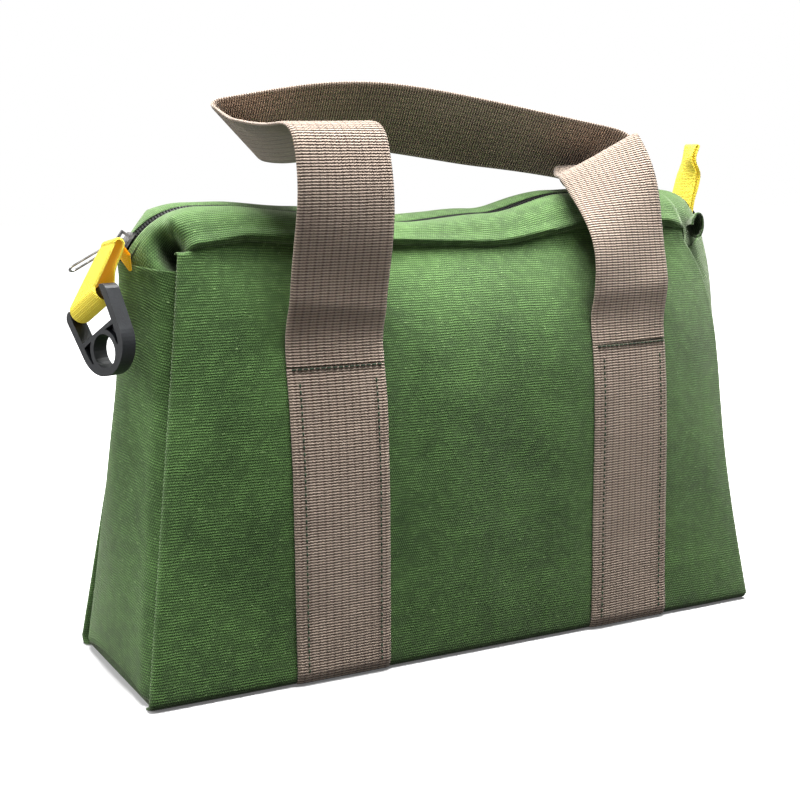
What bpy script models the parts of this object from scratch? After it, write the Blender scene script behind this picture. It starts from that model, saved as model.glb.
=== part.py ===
# Canvas tool bag with a zip top, two webbing handles, two webbing tabs and a clip ring
# Metres, +Z up, +X along the bag, the front panel faces -Y, the origin is under the base
import math

import bmesh
import bpy
import numpy as np
from mathutils import Matrix, Vector

# Sewn body, outer sizes of the cloth
base_length = 0.358
base_depth = 0.114
rim_length = 0.297
rim_depth = 0.053
rim_height = 0.204
canvas = 0.0015
seam_gap = 0.0003
panel_bulge = 0.018
fullness_share = 1.66
fullness_power = 5.5
gusset_bulge = 0.009
shoulder_bulge = 0.010
shoulder_peak_share = 0.8
shoulder_power = 4
panel_edge_power = 4
tip_power = 3
left_tip_reach = 0.0225
right_tip_reach = 0.030
left_tip_lift = -0.002
right_tip_lift = 0.006

# Zip, from the middle of the tape outwards
tape_thickness = 0.0008
tape_slot = 0.0009
tape_reach = 0.0048
cloth_edge = 0.0055
rim_seat = 0.0007
teeth_inner = 0.0009
teeth_outer = 0.0032
teeth_height = 0.0020
stop_length = 0.0022
crown_height = 0.0215
front_pillow_share = 0.16
rear_pillow_share = 0.32
pillow_lean_share = 0.4
pillow_fade_power = 4
left_curl_inset = 0.0175
right_curl_inset = 0.0045
left_join_run = 0.013
left_curl_start = left_curl_inset - rim_length / 2
right_curl_start = rim_length / 2 - right_curl_inset
left_join = left_curl_start + left_join_run
right_join = 0.058
left_curl_radius = 0.0375
right_curl_radius = 0.0335
left_curl_turn = 67.0
right_curl_turn = 60.0
# Height of the zip along the rim, as shares of half the rim length and of the crown height
track_shares = (
    (-1.0, 1.0),
    (-0.80, 1.0),
    (-0.50, 0.82),
    (-0.16, 0.51),
    (0.20, 0.68),
    (0.54, 1.13),
    (0.80, 1.18),
    (1.0, 1.18),
)

# Zip slider and its pull
slider_angle = 55.0
slider_length = 0.010
slider_width = 0.009
slider_plate = 0.0013
slider_clearance = 0.0006
slider_post_length = 0.0035
slider_post_width = 0.0012
bridge_length = 0.0072
bridge_width = 0.0018
bridge_bar = 0.0011
bridge_room = 0.0030
pull_length = 0.029
pull_width = 0.0068
pull_wire = 0.0013
pull_angle = 211.0
pull_skew = 13.0

# Webbing of the handles and the sewn straps
webbing_width = 0.050
webbing_thickness = 0.0018
strap_spacing = 0.172
strap_offset = 0.006
strap_foot = 0.0015
seam_drop = 0.050
seam_height = rim_height - seam_drop
tack_height = 0.0025
tack_width = 0.046
tack_thickness = 0.0005
tack_drop = 0.003

# Front handle, leaning back over the zip: rise above the seam and set-back behind it
handle_rise = 0.112
handle_setback = 0.120
# Each row: place across the straps, set-back and rise as shares, then the width direction
front_handle_shares = (
    (-0.500, 0.000, 0.000, (-1.00, 0.00, 0.00)),
    (-0.488, -0.005, 0.455, (-1.00, 0.00, 0.00)),
    (-0.476, -0.005, 0.760, (-1.00, -0.06, 0.00)),
    (-0.482, 0.011, 0.947, (-1.00, -0.09, -0.04)),
    (-0.484, 0.103, 1.005, (-0.99, -0.09, -0.06)),
    (-0.485, 0.323, 0.993, (-0.99, -0.14, 0.09)),
    (-0.489, 0.567, 0.969, (-0.92, -0.21, 0.34)),
    (-0.493, 0.811, 0.952, (-0.82, -0.25, 0.51)),
    (-0.489, 0.998, 0.957, (-0.67, -0.34, 0.66)),
    (-0.442, 1.069, 1.007, (-0.49, -0.59, 0.65)),
    (-0.282, 0.993, 1.045, (-0.36, -0.72, 0.58)),
    (0.026, 0.884, 1.043, (-0.31, -0.66, 0.69)),
    (0.241, 0.769, 0.980, (-0.27, -0.58, 0.77)),
    (0.416, 0.660, 0.952, (-0.13, -0.62, 0.77)),
    (0.458, 0.535, 0.906, (0.22, -0.72, 0.66)),
    (0.492, 0.348, 0.873, (0.92, -0.09, 0.39)),
    (0.520, 0.174, 0.630, (0.97, 0.02, 0.23)),
    (0.523, 0.050, 0.387, (0.97, 0.16, 0.12)),
    (0.506, 0.006, 0.200, (1.00, 0.00, 0.03)),
    (0.500, 0.000, 0.000, (1.00, 0.00, 0.00)),
)

# Rear handle, folded down behind the bag: drop below the seam and stand-off behind it
hang_share = 0.7533
hang_drop = seam_height * hang_share
hang_standoff = 0.074
# One half of the rear handle, from the seam to the middle, as shares like those above
rear_handle_shares = (
    (0.500, 0.000, -0.006, (1.00, 0.00, 0.00)),
    (0.500, 0.046, 0.010, (1.00, 0.00, 0.00)),
    (0.500, 0.060, 0.045, (1.00, 0.00, 0.00)),
    (0.500, 0.064, 0.130, (1.00, 0.00, 0.00)),
    (0.500, 0.067, 0.300, (1.00, 0.00, 0.00)),
    (0.500, 0.097, 0.480, (1.00, 0.00, 0.00)),
    (0.502, 0.163, 0.670, (1.00, 0.00, -0.05)),
    (0.498, 0.282, 0.800, (0.96, -0.04, -0.27)),
    (0.470, 0.445, 0.900, (0.80, -0.10, -0.60)),
    (0.410, 0.609, 0.965, (0.56, -0.13, -0.83)),
    (0.320, 0.730, 0.995, (0.26, -0.10, -0.96)),
    (0.160, 0.796, 0.990, (0.09, -0.04, -1.00)),
    (0.000, 0.814, 0.985, (0.00, 0.00, -1.00)),
)

# Yellow tabs and the ring that the left one carries
tab_width = 0.022
tab_thickness = 0.0016
tab_clearance = 0.0012
wrap_clearance = 0.0004
wrap_riser = 0.0040
left_tab_out = 0.0042
left_tab_rise = 0.0090
left_tab_side = -0.0135
left_tab_fold = 0.0022
ring_drop = (-0.0101, 0.0022, -0.0258)
right_tab_turn = 19.0
right_tab_width = 0.018
right_tab_seat = 0.00035
right_tab_rise = 0.033
right_tab_room = 0.0021
right_tab_sway = 0.004
# Outline of the standing tab: place up its height, sway and room between its legs as shares
right_tab_shares = (
    (0.00, 0.00, 1.00),
    (0.18, 0.22, 1.15),
    (0.42, 0.25, 1.50),
    (0.62, -0.40, 1.30),
    (0.80, -1.00, 1.10),
    (0.96, -0.15, 1.00),
)

# Ring: a straight bar above a tapering rim with a round eye
ring_width = 0.0350
ring_height = 0.0382
ring_thickness = 0.0075
ring_bar = 0.005
ring_rail = 0.0036
ring_foot_radius = 0.0160
ring_corner = 0.004
ring_neck_width = 0.0272
ring_neck_depth = 0.0052
eye_radius = 0.0079
eye_wall = 0.0024
eye_rim = 0.0008
slot_overlap = 0.0004
pocket_web = 0.0022
pocket_low_angle = -8.0
pocket_high_angle = 52.0
pocket_shares = (0.0, 0.25, 0.5, 0.75, 1.0)
ring_bar_direction = (0.30, -0.80, 0.52)

# Mesh fineness, as counts
panel_columns = 20
panel_rows = 10
strip_columns = 14
strip_rows = 6
end_columns = 12
round_steps = 28
corner_steps = 4
front_handle_rings = 77
rear_handle_rings = 73
fold_turns = (0, 30, 60, 90, 120, 150, 180)
pull_bend_steps = 6
wire_sides = 6
strap_columns = 4
strap_rows = 12
wrap_steps = 10
tab_rows = 14
leg_shares = (0.2, 0.4, 0.6, 0.8)

# Colours as red, green, blue
cloth_green = (0.045, 0.130, 0.032)
webbing_brown = (0.200, 0.145, 0.125)
tab_yellow = (0.900, 0.560, 0.020)
zip_black = (0.012, 0.012, 0.013)
ring_black = (0.015, 0.015, 0.017)
metal_grey = (0.560, 0.560, 0.550)
thread_green = (0.030, 0.090, 0.030)

FRONT = -1
REAR = 1
LEFT = -1
RIGHT = 1


def clear_scene():
    for item in list(bpy.data.objects):
        bpy.data.objects.remove(item, do_unlink=True)


def make_material(name, colour, roughness, metallic=0.0):
    material = bpy.data.materials.new(name)
    material.use_nodes = True
    shader = material.node_tree.nodes["Principled BSDF"]
    shader.inputs["Base Color"].default_value = (*colour, 1.0)
    shader.inputs["Roughness"].default_value = roughness
    shader.inputs["Metallic"].default_value = metallic
    return material


def turn_outward(mesh):
    work = bmesh.new()
    work.from_mesh(mesh)
    bmesh.ops.recalc_face_normals(work, faces=work.faces)
    if work.calc_volume(signed=True) < 0:
        bmesh.ops.reverse_faces(work, faces=work.faces)
    work.to_mesh(mesh)
    work.free()


def add_object(name, points, faces, material, pivot=(0, 0, 0)):
    pivot = Vector(pivot)
    mesh = bpy.data.meshes.new(name)
    mesh.from_pydata([Vector(point) - pivot for point in points], [], faces)
    turn_outward(mesh)
    mesh.shade_smooth()
    mesh.set_sharp_from_angle(angle=math.radians(35))
    mesh.materials.append(material)
    item = bpy.data.objects.new(name, mesh)
    item.location = pivot
    bpy.context.collection.objects.link(item)
    return item


# Smooth curve through rows of values, at a place between 0 and 1
def smooth_rows(rows, place):
    rows = np.asarray(rows, float)
    count = len(rows)
    spans = count - 1
    spot = min(max(place * spans, 0), spans)
    index = min(int(spot), spans - 1)
    share = spot - index

    def row(number):
        if number < 0:
            return 2 * rows[0] - rows[1]
        if number >= count:
            return 2 * rows[-1] - rows[-2]
        return rows[number]

    before, start, end, after = (row(index + step) for step in (-1, 0, 1, 2))
    square = share * share
    cube = square * share
    return 0.5 * (
        2 * start
        + (end - before) * share
        + (2 * before - 5 * start + 4 * end - after) * square
        + (3 * start - before - 3 * end + after) * cube
    )


def unit(vector):
    vector = np.asarray(vector, float)
    return vector / np.linalg.norm(vector)


# Normals of a grid of points, turned away from an inner point
def grid_normals(grid, inner_point):
    across = np.gradient(grid, axis=0)
    along = np.gradient(grid, axis=1)
    normals = np.cross(across, along)
    normals /= np.linalg.norm(normals, axis=2, keepdims=True)
    outward = np.sum(normals * (grid - np.asarray(inner_point)), axis=2)
    if outward.sum() < 0:
        normals = -normals
    return normals


# Closed shell between two grids of the same size
def shell_between(name, outer, inner, material, pivot=(0, 0, 0)):
    columns, rows = outer.shape[:2]
    size = columns * rows
    points = [*outer.reshape(-1, 3), *inner.reshape(-1, 3)]
    faces = []
    for column in range(columns - 1):
        for row in range(rows - 1):
            corner = column * rows + row
            quad = (corner, corner + rows, corner + rows + 1, corner + 1)
            faces.append(quad)
            faces.append(tuple(size + index for index in reversed(quad)))
    edge = [column * rows for column in range(columns)]
    edge += [(columns - 1) * rows + row for row in range(1, rows)]
    edge += [column * rows + rows - 1 for column in range(columns - 2, -1, -1)]
    edge += [row for row in range(rows - 2, 0, -1)]
    for here, after in zip(edge, edge[1:] + edge[:1]):
        faces.append((here, size + here, size + after, after))
    return add_object(name, points, faces, material, pivot)


def cloth_shell(name, grid, material, inner_point, thickness, lift=0.0, pivot=(0, 0, 0), level_ends=False):
    normals = grid_normals(grid, inner_point)
    if level_ends:
        normals[:, (0, -1), 2] = 0
        normals[:, (0, -1)] /= np.linalg.norm(normals[:, (0, -1)], axis=2, keepdims=True)
    outer = grid + normals * (lift + thickness)
    inner = grid + normals * lift
    return shell_between(name, outer, inner, material, pivot)


# Flat webbing swept along centres, with its width along the given directions
def add_ribbon(name, centres, widths, size, thickness, material, pivot=(0, 0, 0), closed=False, ends=None):
    centres = np.asarray(centres, float)
    widths = np.asarray(widths, float)
    count = len(centres)
    points = []
    for index in range(count):
        if closed:
            tangent = centres[(index + 1) % count] - centres[index - 1]
        elif ends is not None and index in (0, count - 1):
            tangent = np.asarray(ends[0 if index == 0 else 1], float)
        else:
            tangent = centres[min(index + 1, count - 1)] - centres[max(index - 1, 0)]
        tangent = unit(tangent)
        lean = 0 if closed else np.dot(widths[index], tangent)
        width = unit(widths[index] - tangent * lean)
        face = unit(np.cross(tangent, width))
        for side, depth in ((-1, -1), (1, -1), (1, 1), (-1, 1)):
            points.append(centres[index] + width * side * size / 2 + face * depth * thickness / 2)
    # Both faces of the band are split along the same diagonal, so a twist can't make them cross
    faces = []
    last = count if closed else count - 1
    for index in range(last):
        here = index * 4
        after = (index + 1) % count * 4
        faces.append((here, here + 1, after + 1))
        faces.append((here, after + 1, after))
        faces.append((here + 2, here + 3, after + 2))
        faces.append((here + 3, after + 3, after + 2))
        faces.append((here + 1, here + 2, after + 2, after + 1))
        faces.append((here + 3, here, after, after + 3))
    if not closed:
        faces.append((3, 2, 1, 0))
        faces.append(tuple(last * 4 + corner for corner in range(4)))
    return add_object(name, points, faces, material, pivot)


# Body of the bag


def half_length(height_share, end):
    plain = (base_length + (rim_length - base_length) * height_share) / 2
    if end == RIGHT:
        peak = shoulder_peak_share**shoulder_power * (1 - shoulder_peak_share)
        shape = height_share**shoulder_power * (1 - height_share) / peak
        plain += shoulder_bulge * shape
    return plain


def half_depth(height_share):
    return (base_depth + (rim_depth - base_depth) * height_share) / 2


def panel_point(across, height_share, face):
    left = half_length(height_share, LEFT)
    right = half_length(height_share, RIGHT)
    fullness = fullness_share * height_share * (1 - height_share**fullness_power)
    swell = panel_bulge * fullness * (1 - abs(2 * across - 1) ** panel_edge_power)
    x = -left + (left + right) * across
    return (x, face * (half_depth(height_share) + swell), rim_height * height_share)


def panel_across(x, height_share):
    left = half_length(height_share, LEFT)
    right = half_length(height_share, RIGHT)
    return (x + left) / (left + right)


def gusset_point(y, height_share, end):
    reach, lift = (left_tip_reach, left_tip_lift) if end == LEFT else (right_tip_reach, right_tip_lift)
    crest = 1 - (y / half_depth(height_share)) ** 2
    swell = gusset_bulge * 4 * height_share * (1 - height_share) + reach * height_share**tip_power
    x = end * (half_length(height_share, end) + swell * crest)
    return (x, y, rim_height * height_share + lift * height_share**tip_power * crest)


def body_middle():
    return (0, 0, rim_height / 2)


def make_panels(cloth):
    top_share = 1 - (canvas + seam_gap) / rim_height
    heights = np.linspace(0, top_share, panel_rows + 1)
    for name, face in (("front_panel", FRONT), ("rear_panel", REAR)):
        places = np.linspace(0, 1, panel_columns + 1)
        grid = np.array([[panel_point(across, height, face) for height in heights] for across in places])
        cloth_shell(name, grid, cloth, body_middle(), canvas, lift=-canvas, level_ends=True)
    inset = canvas + 2 * seam_gap
    for name, end in (("left_gusset", LEFT), ("right_gusset", RIGHT)):
        shares = np.linspace(-1, 1, panel_rows + 1)
        grid = np.array(
            [
                [gusset_point(share * (half_depth(height) - inset), height, end) for height in heights]
                for share in shares
            ]
        )
        cloth_shell(name, grid, cloth, body_middle(), canvas, lift=-canvas, level_ends=True)
    length = base_length / 2 - canvas - 2 * seam_gap
    depth = base_depth / 2 - canvas - 2 * seam_gap
    corners = ((-length, -depth), (length, -depth), (length, depth), (-length, depth))
    points = [(x, y, 0) for x, y in corners] + [(x, y, canvas) for x, y in corners]
    faces = [(3, 2, 1, 0), (4, 5, 6, 7), (0, 1, 5, 4), (1, 2, 6, 5), (2, 3, 7, 6), (3, 0, 4, 7)]
    add_object("base_panel", points, faces, cloth)


# Zip track: the middle of the tape, seen from the front


def track_height(x):
    places = [share for share, _ in track_shares]
    spot = min(max(x / (rim_length / 2), places[0]), places[-1])
    index = max(min(np.searchsorted(places, spot) - 1, len(places) - 2), 0)
    share = (spot - places[index]) / (places[index + 1] - places[index])
    start, end = track_shares[index][1], track_shares[index + 1][1]
    eased = share * share * (3 - 2 * share)
    return rim_height + crown_height * (start + (end - start) * eased)


# Place and outward normal on the track beyond a join, at a share of its length
def end_track(end, share):
    if end == LEFT:
        join, start, radius, turn = left_join, left_curl_start, left_curl_radius, left_curl_turn
    else:
        join, start, radius, turn = right_join, right_curl_start, right_curl_radius, right_curl_turn
    straight = abs(start - join)
    travel = share * (straight + radius * math.radians(turn))
    if travel <= straight:
        x = join + end * travel
        return np.array([x, 0, track_height(x)]), np.array([0.0, 0.0, 1.0])
    angle = (travel - straight) / radius
    normal = np.array([end * math.sin(angle), 0, math.cos(angle)])
    centre = np.array([start, 0, track_height(start) - radius])
    return centre + normal * radius, normal


def cloth_top():
    return tape_thickness / 2 + seam_gap + canvas


# Outer edge of a curled end: along the rim to the corner, then along the gusset's top
def end_border(end, face, share):
    join = left_join if end == LEFT else right_join
    corner = end * rim_length / 2
    rim_run = abs(corner - join)
    tip_run = math.hypot(rim_depth / 2, left_tip_reach if end == LEFT else right_tip_reach)
    travel = share * (rim_run + tip_run)
    if travel <= rim_run:
        return np.array([join + end * travel, face * rim_depth / 2, rim_height - rim_seat])
    part = (travel - rim_run) / tip_run
    y = face * (rim_depth / 2 + (cloth_edge - rim_depth / 2) * part)
    return np.array(gusset_point(y, 1, end)) - np.array([0, 0, rim_seat])


def strip_row(track, normal, border, face, shares, fullness=1.0):
    inner = track + np.array([0, face * cloth_edge, 0]) + normal * cloth_top()
    pillow = front_pillow_share if face == FRONT else rear_pillow_share
    pillow *= fullness * np.linalg.norm(border - inner)
    rise = unit(normal + np.array([0, face * pillow_lean_share, 0]))
    row = []
    for share in shares:
        row.append(inner + (border - inner) * share + rise * pillow * math.sin(math.pi * share))
    return row


def flap_rows(face, shares):
    rows = []
    for x in np.linspace(left_join + seam_gap / 2, right_join - seam_gap / 2, strip_columns + 1):
        track = np.array([x, 0, track_height(x)])
        border = np.array([x, face * rim_depth / 2, rim_height - rim_seat])
        rows.append(strip_row(track, np.array([0.0, 0.0, 1.0]), border, face, shares))
    return np.array(rows)


def end_rows(end, face, shares):
    first = seam_gap / abs(left_curl_start - left_join)
    rows = []
    for place in np.linspace(first / 2, 1, end_columns + 1):
        track, normal = end_track(end, place)
        border = end_border(end, face, place)
        rows.append(strip_row(track, normal, border, face, shares, 1 - place**pillow_fade_power))
    return np.array(rows)


def rim_axis(face):
    return (0, face * rim_depth / 2, rim_height - canvas)


# Track places and normals of one stretch, for the tape and the teeth
def flap_track():
    places = np.linspace(left_join + seam_gap / 2, right_join - seam_gap / 2, strip_columns + 1)
    return [(np.array([x, 0, track_height(x)]), np.array([0.0, 0.0, 1.0])) for x in places]


def curl_track(end):
    first = seam_gap / abs(left_curl_start - left_join)
    return [end_track(end, place) for place in np.linspace(first / 2, 1, end_columns + 1)]


# Tape: a flat band from the slot to just under the edge of the cloth
def make_tape(name, track, face, material, pivot=(0, 0, 0)):
    sheets = []
    for level in (tape_thickness / 2, -tape_thickness / 2):
        rows = [
            [place + np.array([0, face * across, 0]) + up * level for across in (tape_slot, tape_reach)]
            for place, up in track
        ]
        sheets.append(np.array(rows))
    shell_between(name, sheets[0], sheets[1], material, pivot)


def make_teeth(name, track, face, material, pivot):
    bottom = tape_thickness / 2 + seam_gap
    outer = []
    inner = []
    for place, up in track:
        near = place + np.array([0, face * teeth_inner, 0])
        far = place + np.array([0, face * teeth_outer, 0])
        outer.append([near + up * (bottom + teeth_height), far + up * (bottom + teeth_height)])
        inner.append([near + up * bottom, far + up * bottom])
    shell_between(name, np.array(outer), np.array(inner), material, pivot)


def make_top(cloth, tape, teeth):
    shares = np.linspace(0, 1, strip_rows + 1)
    for side, face in (("front", FRONT), ("rear", REAR)):
        pivot = rim_axis(face)
        flap = flap_rows(face, shares)
        cloth_shell(f"{side}_top_strip", flap, cloth, body_middle(), canvas, lift=-canvas, pivot=pivot)
        make_tape(f"{side}_zip_tape", flap_track(), face, tape, pivot)
        make_teeth(f"{side}_zip_teeth", flap_track(), face, teeth, pivot)
        for hand, end in (("left", LEFT), ("right", RIGHT)):
            curl = end_rows(end, face, shares)
            cloth_shell(f"{side}_top_{hand}_end", curl, cloth, body_middle(), canvas, lift=-canvas)
            make_tape(f"{side}_tape_{hand}_end", curl_track(end), face, tape)
            room = 1 - (stop_length + 2 * seam_gap) / end_length(end)
            stretch = [end_track(end, place * room) for place in end_places()]
            make_teeth(f"{side}_teeth_{hand}_end", stretch, face, teeth, (0, 0, 0))


def end_length(end):
    if end == LEFT:
        return abs(left_curl_start - left_join) + left_curl_radius * math.radians(left_curl_turn)
    return abs(right_curl_start - right_join) + right_curl_radius * math.radians(right_curl_turn)


def end_places():
    first = seam_gap / abs(left_curl_start - left_join)
    return np.linspace(first / 2, 1, end_columns + 1)


def make_stops(metal):
    bottom = tape_thickness / 2 + seam_gap
    for hand, end in (("left", LEFT), ("right", RIGHT)):
        first = 1 - stop_length / end_length(end)
        for side, face in (("front", FRONT), ("rear", REAR)):
            outer = []
            inner = []
            for share in (first, 1):
                place, up = end_track(end, share)
                near = place + np.array([0, face * teeth_inner, 0])
                far = place + np.array([0, face * teeth_outer, 0])
                outer.append([near + up * (bottom + teeth_height), far + up * (bottom + teeth_height)])
                inner.append([near + up * bottom, far + up * bottom])
            shell_between(f"{side}_zip_{hand}_stop", np.array(outer), np.array(inner), metal)


# Helpers for the rigid small parts


def block_mesh(name, low, high):
    points = [(x, y, z) for z in (low[2], high[2]) for y in (low[1], high[1]) for x in (low[0], high[0])]
    faces = [(0, 2, 3, 1), (4, 5, 7, 6), (0, 1, 5, 4), (2, 6, 7, 3), (0, 4, 6, 2), (1, 3, 7, 5)]
    mesh = bpy.data.meshes.new(name)
    mesh.from_pydata(points, [], faces)
    turn_outward(mesh)
    return mesh


def prism_mesh(name, outline, low, high):
    count = len(outline)
    points = [(x, low, z) for x, z in outline] + [(x, high, z) for x, z in outline]
    faces = [tuple(range(count)), tuple(reversed(range(count, 2 * count)))]
    for index in range(count):
        after = (index + 1) % count
        faces.append((index, count + index, count + after, after))
    mesh = bpy.data.meshes.new(name)
    mesh.from_pydata(points, [], faces)
    turn_outward(mesh)
    return mesh


def place_mesh(mesh, name, material, matrix):
    item = bpy.data.objects.new(name, mesh)
    item.matrix_world = matrix
    if material is not None:
        mesh.materials.append(material)
    bpy.context.collection.objects.link(item)
    return item


def combine(target, mesh, operation):
    tool = place_mesh(mesh, mesh.name, None, target.matrix_world.copy())
    tool.hide_render = True
    tool.display_type = "WIRE"
    change = target.modifiers.new(mesh.name, "BOOLEAN")
    change.operation = operation
    change.solver = "EXACT"
    change.object = tool
    return tool


def ring_of_points(radius, centre_height, start, stop, steps):
    points = []
    for step in range(steps + 1):
        angle = math.radians(start + (stop - start) * step / steps)
        points.append((radius * math.cos(angle), centre_height + radius * math.sin(angle)))
    return points


def slider_frame():
    angle = math.radians(slider_angle)
    centre = Vector((left_curl_start, 0, track_height(left_curl_start) - left_curl_radius))
    return Matrix.Translation(centre) @ Matrix.Rotation(-angle, 4, "Y")


def bridge_level():
    top_plate = tape_thickness / 2 + seam_gap + teeth_height + slider_clearance / 2 + slider_plate
    return top_plate + bridge_room / 2


def make_slider(metal):
    matrix = slider_frame()
    radius = left_curl_radius
    half = slider_length / 2
    side = slider_width / 2
    plate_low = radius + tape_thickness / 2 + seam_gap + teeth_height + slider_clearance / 2
    plate_high = plate_low + slider_plate
    under_high = radius - tape_thickness / 2 - slider_clearance
    under_low = under_high - slider_plate
    slider = place_mesh(
        block_mesh("zip_slider", (-half, -side, plate_low), (half, side, plate_high)),
        "zip_slider",
        metal,
        matrix,
    )
    combine(slider, block_mesh("slider_under", (-half, -side, under_low), (half, side, under_high)), "UNION")
    post = slider_post_width / 2
    post_low = (-half + slider_plate, -post, under_low + slider_plate / 2)
    post_high = (-half + slider_plate + slider_post_length, post, plate_high - slider_plate / 2)
    combine(slider, block_mesh("slider_post", post_low, post_high), "UNION")
    reach = bridge_length / 2
    width = bridge_width / 2
    bridge_top = plate_high + bridge_room + bridge_bar
    bridge_low = (-reach, -width, plate_high - slider_plate / 2)
    outer = block_mesh("slider_bridge", bridge_low, (reach, width, bridge_top))
    combine(slider, outer, "UNION")
    inside = reach - bridge_bar
    hole_low = (-inside, -2 * width, plate_high)
    hole_high = (inside, 2 * width, plate_high + bridge_room)
    combine(slider, block_mesh("slider_eye", hole_low, hole_high), "DIFFERENCE")


# Open wire frame hanging from the slider's bridge
def make_pull(metal):
    matrix = slider_frame()
    hinge = matrix @ Vector((0, 0, left_curl_radius + bridge_level()))
    angle = math.radians(pull_angle)
    skew = math.radians(pull_skew)
    flat = Vector((math.cos(angle), 0, math.sin(angle)))
    along = flat * math.cos(skew) + Vector((0, math.sin(skew), 0))
    side = Vector((0, math.cos(skew), 0)) - flat * math.sin(skew)
    wire = pull_wire / 2
    corner = pull_width / 2 - wire
    outline = []
    for centre, start in ((pull_length - corner - wire, 0), (corner, 180)):
        for step in range(pull_bend_steps + 1):
            turn = math.radians(start - 90 + 180 * step / pull_bend_steps)
            outline.append((centre + corner * math.cos(turn), corner * math.sin(turn)))
    count = len(outline)
    points = []
    for index, (length, width) in enumerate(outline):
        before = outline[index - 1]
        after = outline[(index + 1) % count]
        run = Vector((after[0] - before[0], after[1] - before[1])).normalized()
        outward = along * run[1] - side * run[0]
        centre = hinge + along * (length - wire / 2) + side * width
        for step in range(wire_sides):
            turn = math.radians(360 * step / wire_sides)
            across = along.cross(side) * wire * math.sin(turn)
            points.append(centre + outward * wire * math.cos(turn) + across)
    faces = []
    for index in range(count):
        here = index * wire_sides
        beyond = (index + 1) % count * wire_sides
        for step in range(wire_sides):
            follow = (step + 1) % wire_sides
            faces.append((here + step, here + follow, beyond + follow, beyond + step))
    add_object("zip_pull", points, faces, metal, hinge)


# Sewn straps, their stitching, and the handles


def strap_centres():
    return strap_offset - strap_spacing / 2, strap_offset + strap_spacing / 2


def strap_grid(centre, width, low, high, face, columns, rows):
    grid = []
    for share in np.linspace(-1, 1, columns + 1):
        x = centre + share * width / 2
        column = []
        for height in np.linspace(low, high, rows + 1) / rim_height:
            column.append(panel_point(panel_across(x, height), height, face))
        grid.append(column)
    return np.array(grid)


def make_straps(webbing, thread):
    for side, face in (("front", FRONT), ("rear", REAR)):
        for hand, centre in zip(("left", "right"), strap_centres()):
            grid = strap_grid(centre, webbing_width, strap_foot, seam_height, face, strap_columns, strap_rows)
            name = f"{side}_strap_{hand}"
            cloth_shell(name, grid, webbing, body_middle(), webbing_thickness, lift=seam_gap, level_ends=True)
            top = seam_height - tack_drop
            grid = strap_grid(centre, tack_width, top - tack_height, top, face, strap_columns, 1)
            lift = webbing_thickness + 2 * seam_gap
            cloth_shell(f"{side}_bar_tack_{hand}", grid, thread, body_middle(), tack_thickness, lift=lift)


# Middle of the webbing where a handle leaves its seam, clear of the fullest part of the panel
def handle_root(face):
    height = seam_height / rim_height
    edges = [x + side * webbing_width / 2 for x in strap_centres() for side in (LEFT, RIGHT)]
    fullest = max(abs(panel_point(panel_across(x, height), height, FRONT)[1]) for x in edges)
    return face * (fullest + seam_gap + webbing_thickness / 2)


def front_axis():
    return (0, handle_root(FRONT) - webbing_thickness / 2, seam_height)


def rear_axis():
    return (0, handle_root(REAR) + webbing_thickness / 2 + seam_gap, seam_height + seam_gap)


def make_front_handle(webbing):
    rows = []
    for place, back, rise, width in front_handle_shares:
        x = strap_offset + place * strap_spacing
        y = handle_root(FRONT) + back * handle_setback
        rows.append((x, y, seam_height + seam_gap + rise * handle_rise, *width))
    path = np.array([smooth_rows(rows, place) for place in np.linspace(0, 1, front_handle_rings)])
    add_ribbon(
        "front_handle",
        path[:, :3],
        path[:, 3:],
        webbing_width,
        webbing_thickness,
        webbing,
        front_axis(),
        ends=((0, 0, 1), (0, 0, -1)),
    )


def make_rear_handle(webbing):
    half = []
    root = rear_axis()[1]
    height = seam_height / rim_height
    seam_depth = panel_point(panel_across(strap_centres()[1], height), height, REAR)[1]
    for place, out, drop, width in rear_handle_shares:
        x = place * strap_spacing
        z = seam_height + seam_gap - drop * hang_drop
        height = min(z, seam_height) / rim_height
        depth = panel_point(panel_across(strap_offset + x, height), height, REAR)[1]
        half.append((x, root + depth - seam_depth + out * hang_standoff, z, *width))
    mirrored = [(-row[0], row[1], row[2], -row[3], row[4], row[5]) for row in half[:-1]]
    rows = [(row[0] + strap_offset, *row[1:]) for row in half + mirrored[::-1]]
    path = np.array([smooth_rows(rows, place) for place in np.linspace(0, 1, rear_handle_rings)])
    lean = unit(np.array(rows[1][:3]) - np.array(rows[0][:3]))
    add_ribbon(
        "rear_handle",
        path[:, :3],
        path[:, 3:],
        webbing_width,
        webbing_thickness,
        webbing,
        rear_axis(),
        ends=(lean, -lean),
    )


# Yellow tabs


def tab_seat(end):
    reach = left_tip_reach if end == LEFT else right_tip_reach
    lift = left_tip_lift if end == LEFT else right_tip_lift
    return np.array([end * (rim_length / 2 + reach), 0, rim_height + lift])


def left_hinge():
    return tab_seat(LEFT) + np.array([-left_tab_out, left_tab_side, left_tab_rise])


def ring_axes():
    bar = unit(ring_bar_direction)
    down = unit(np.array([0, 0, -1]) - bar * -bar[2])
    face = np.cross(bar, down)
    return bar, down, face if face[0] < 0 else -face


def bar_centre():
    return left_hinge() + np.array(ring_drop)


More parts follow.
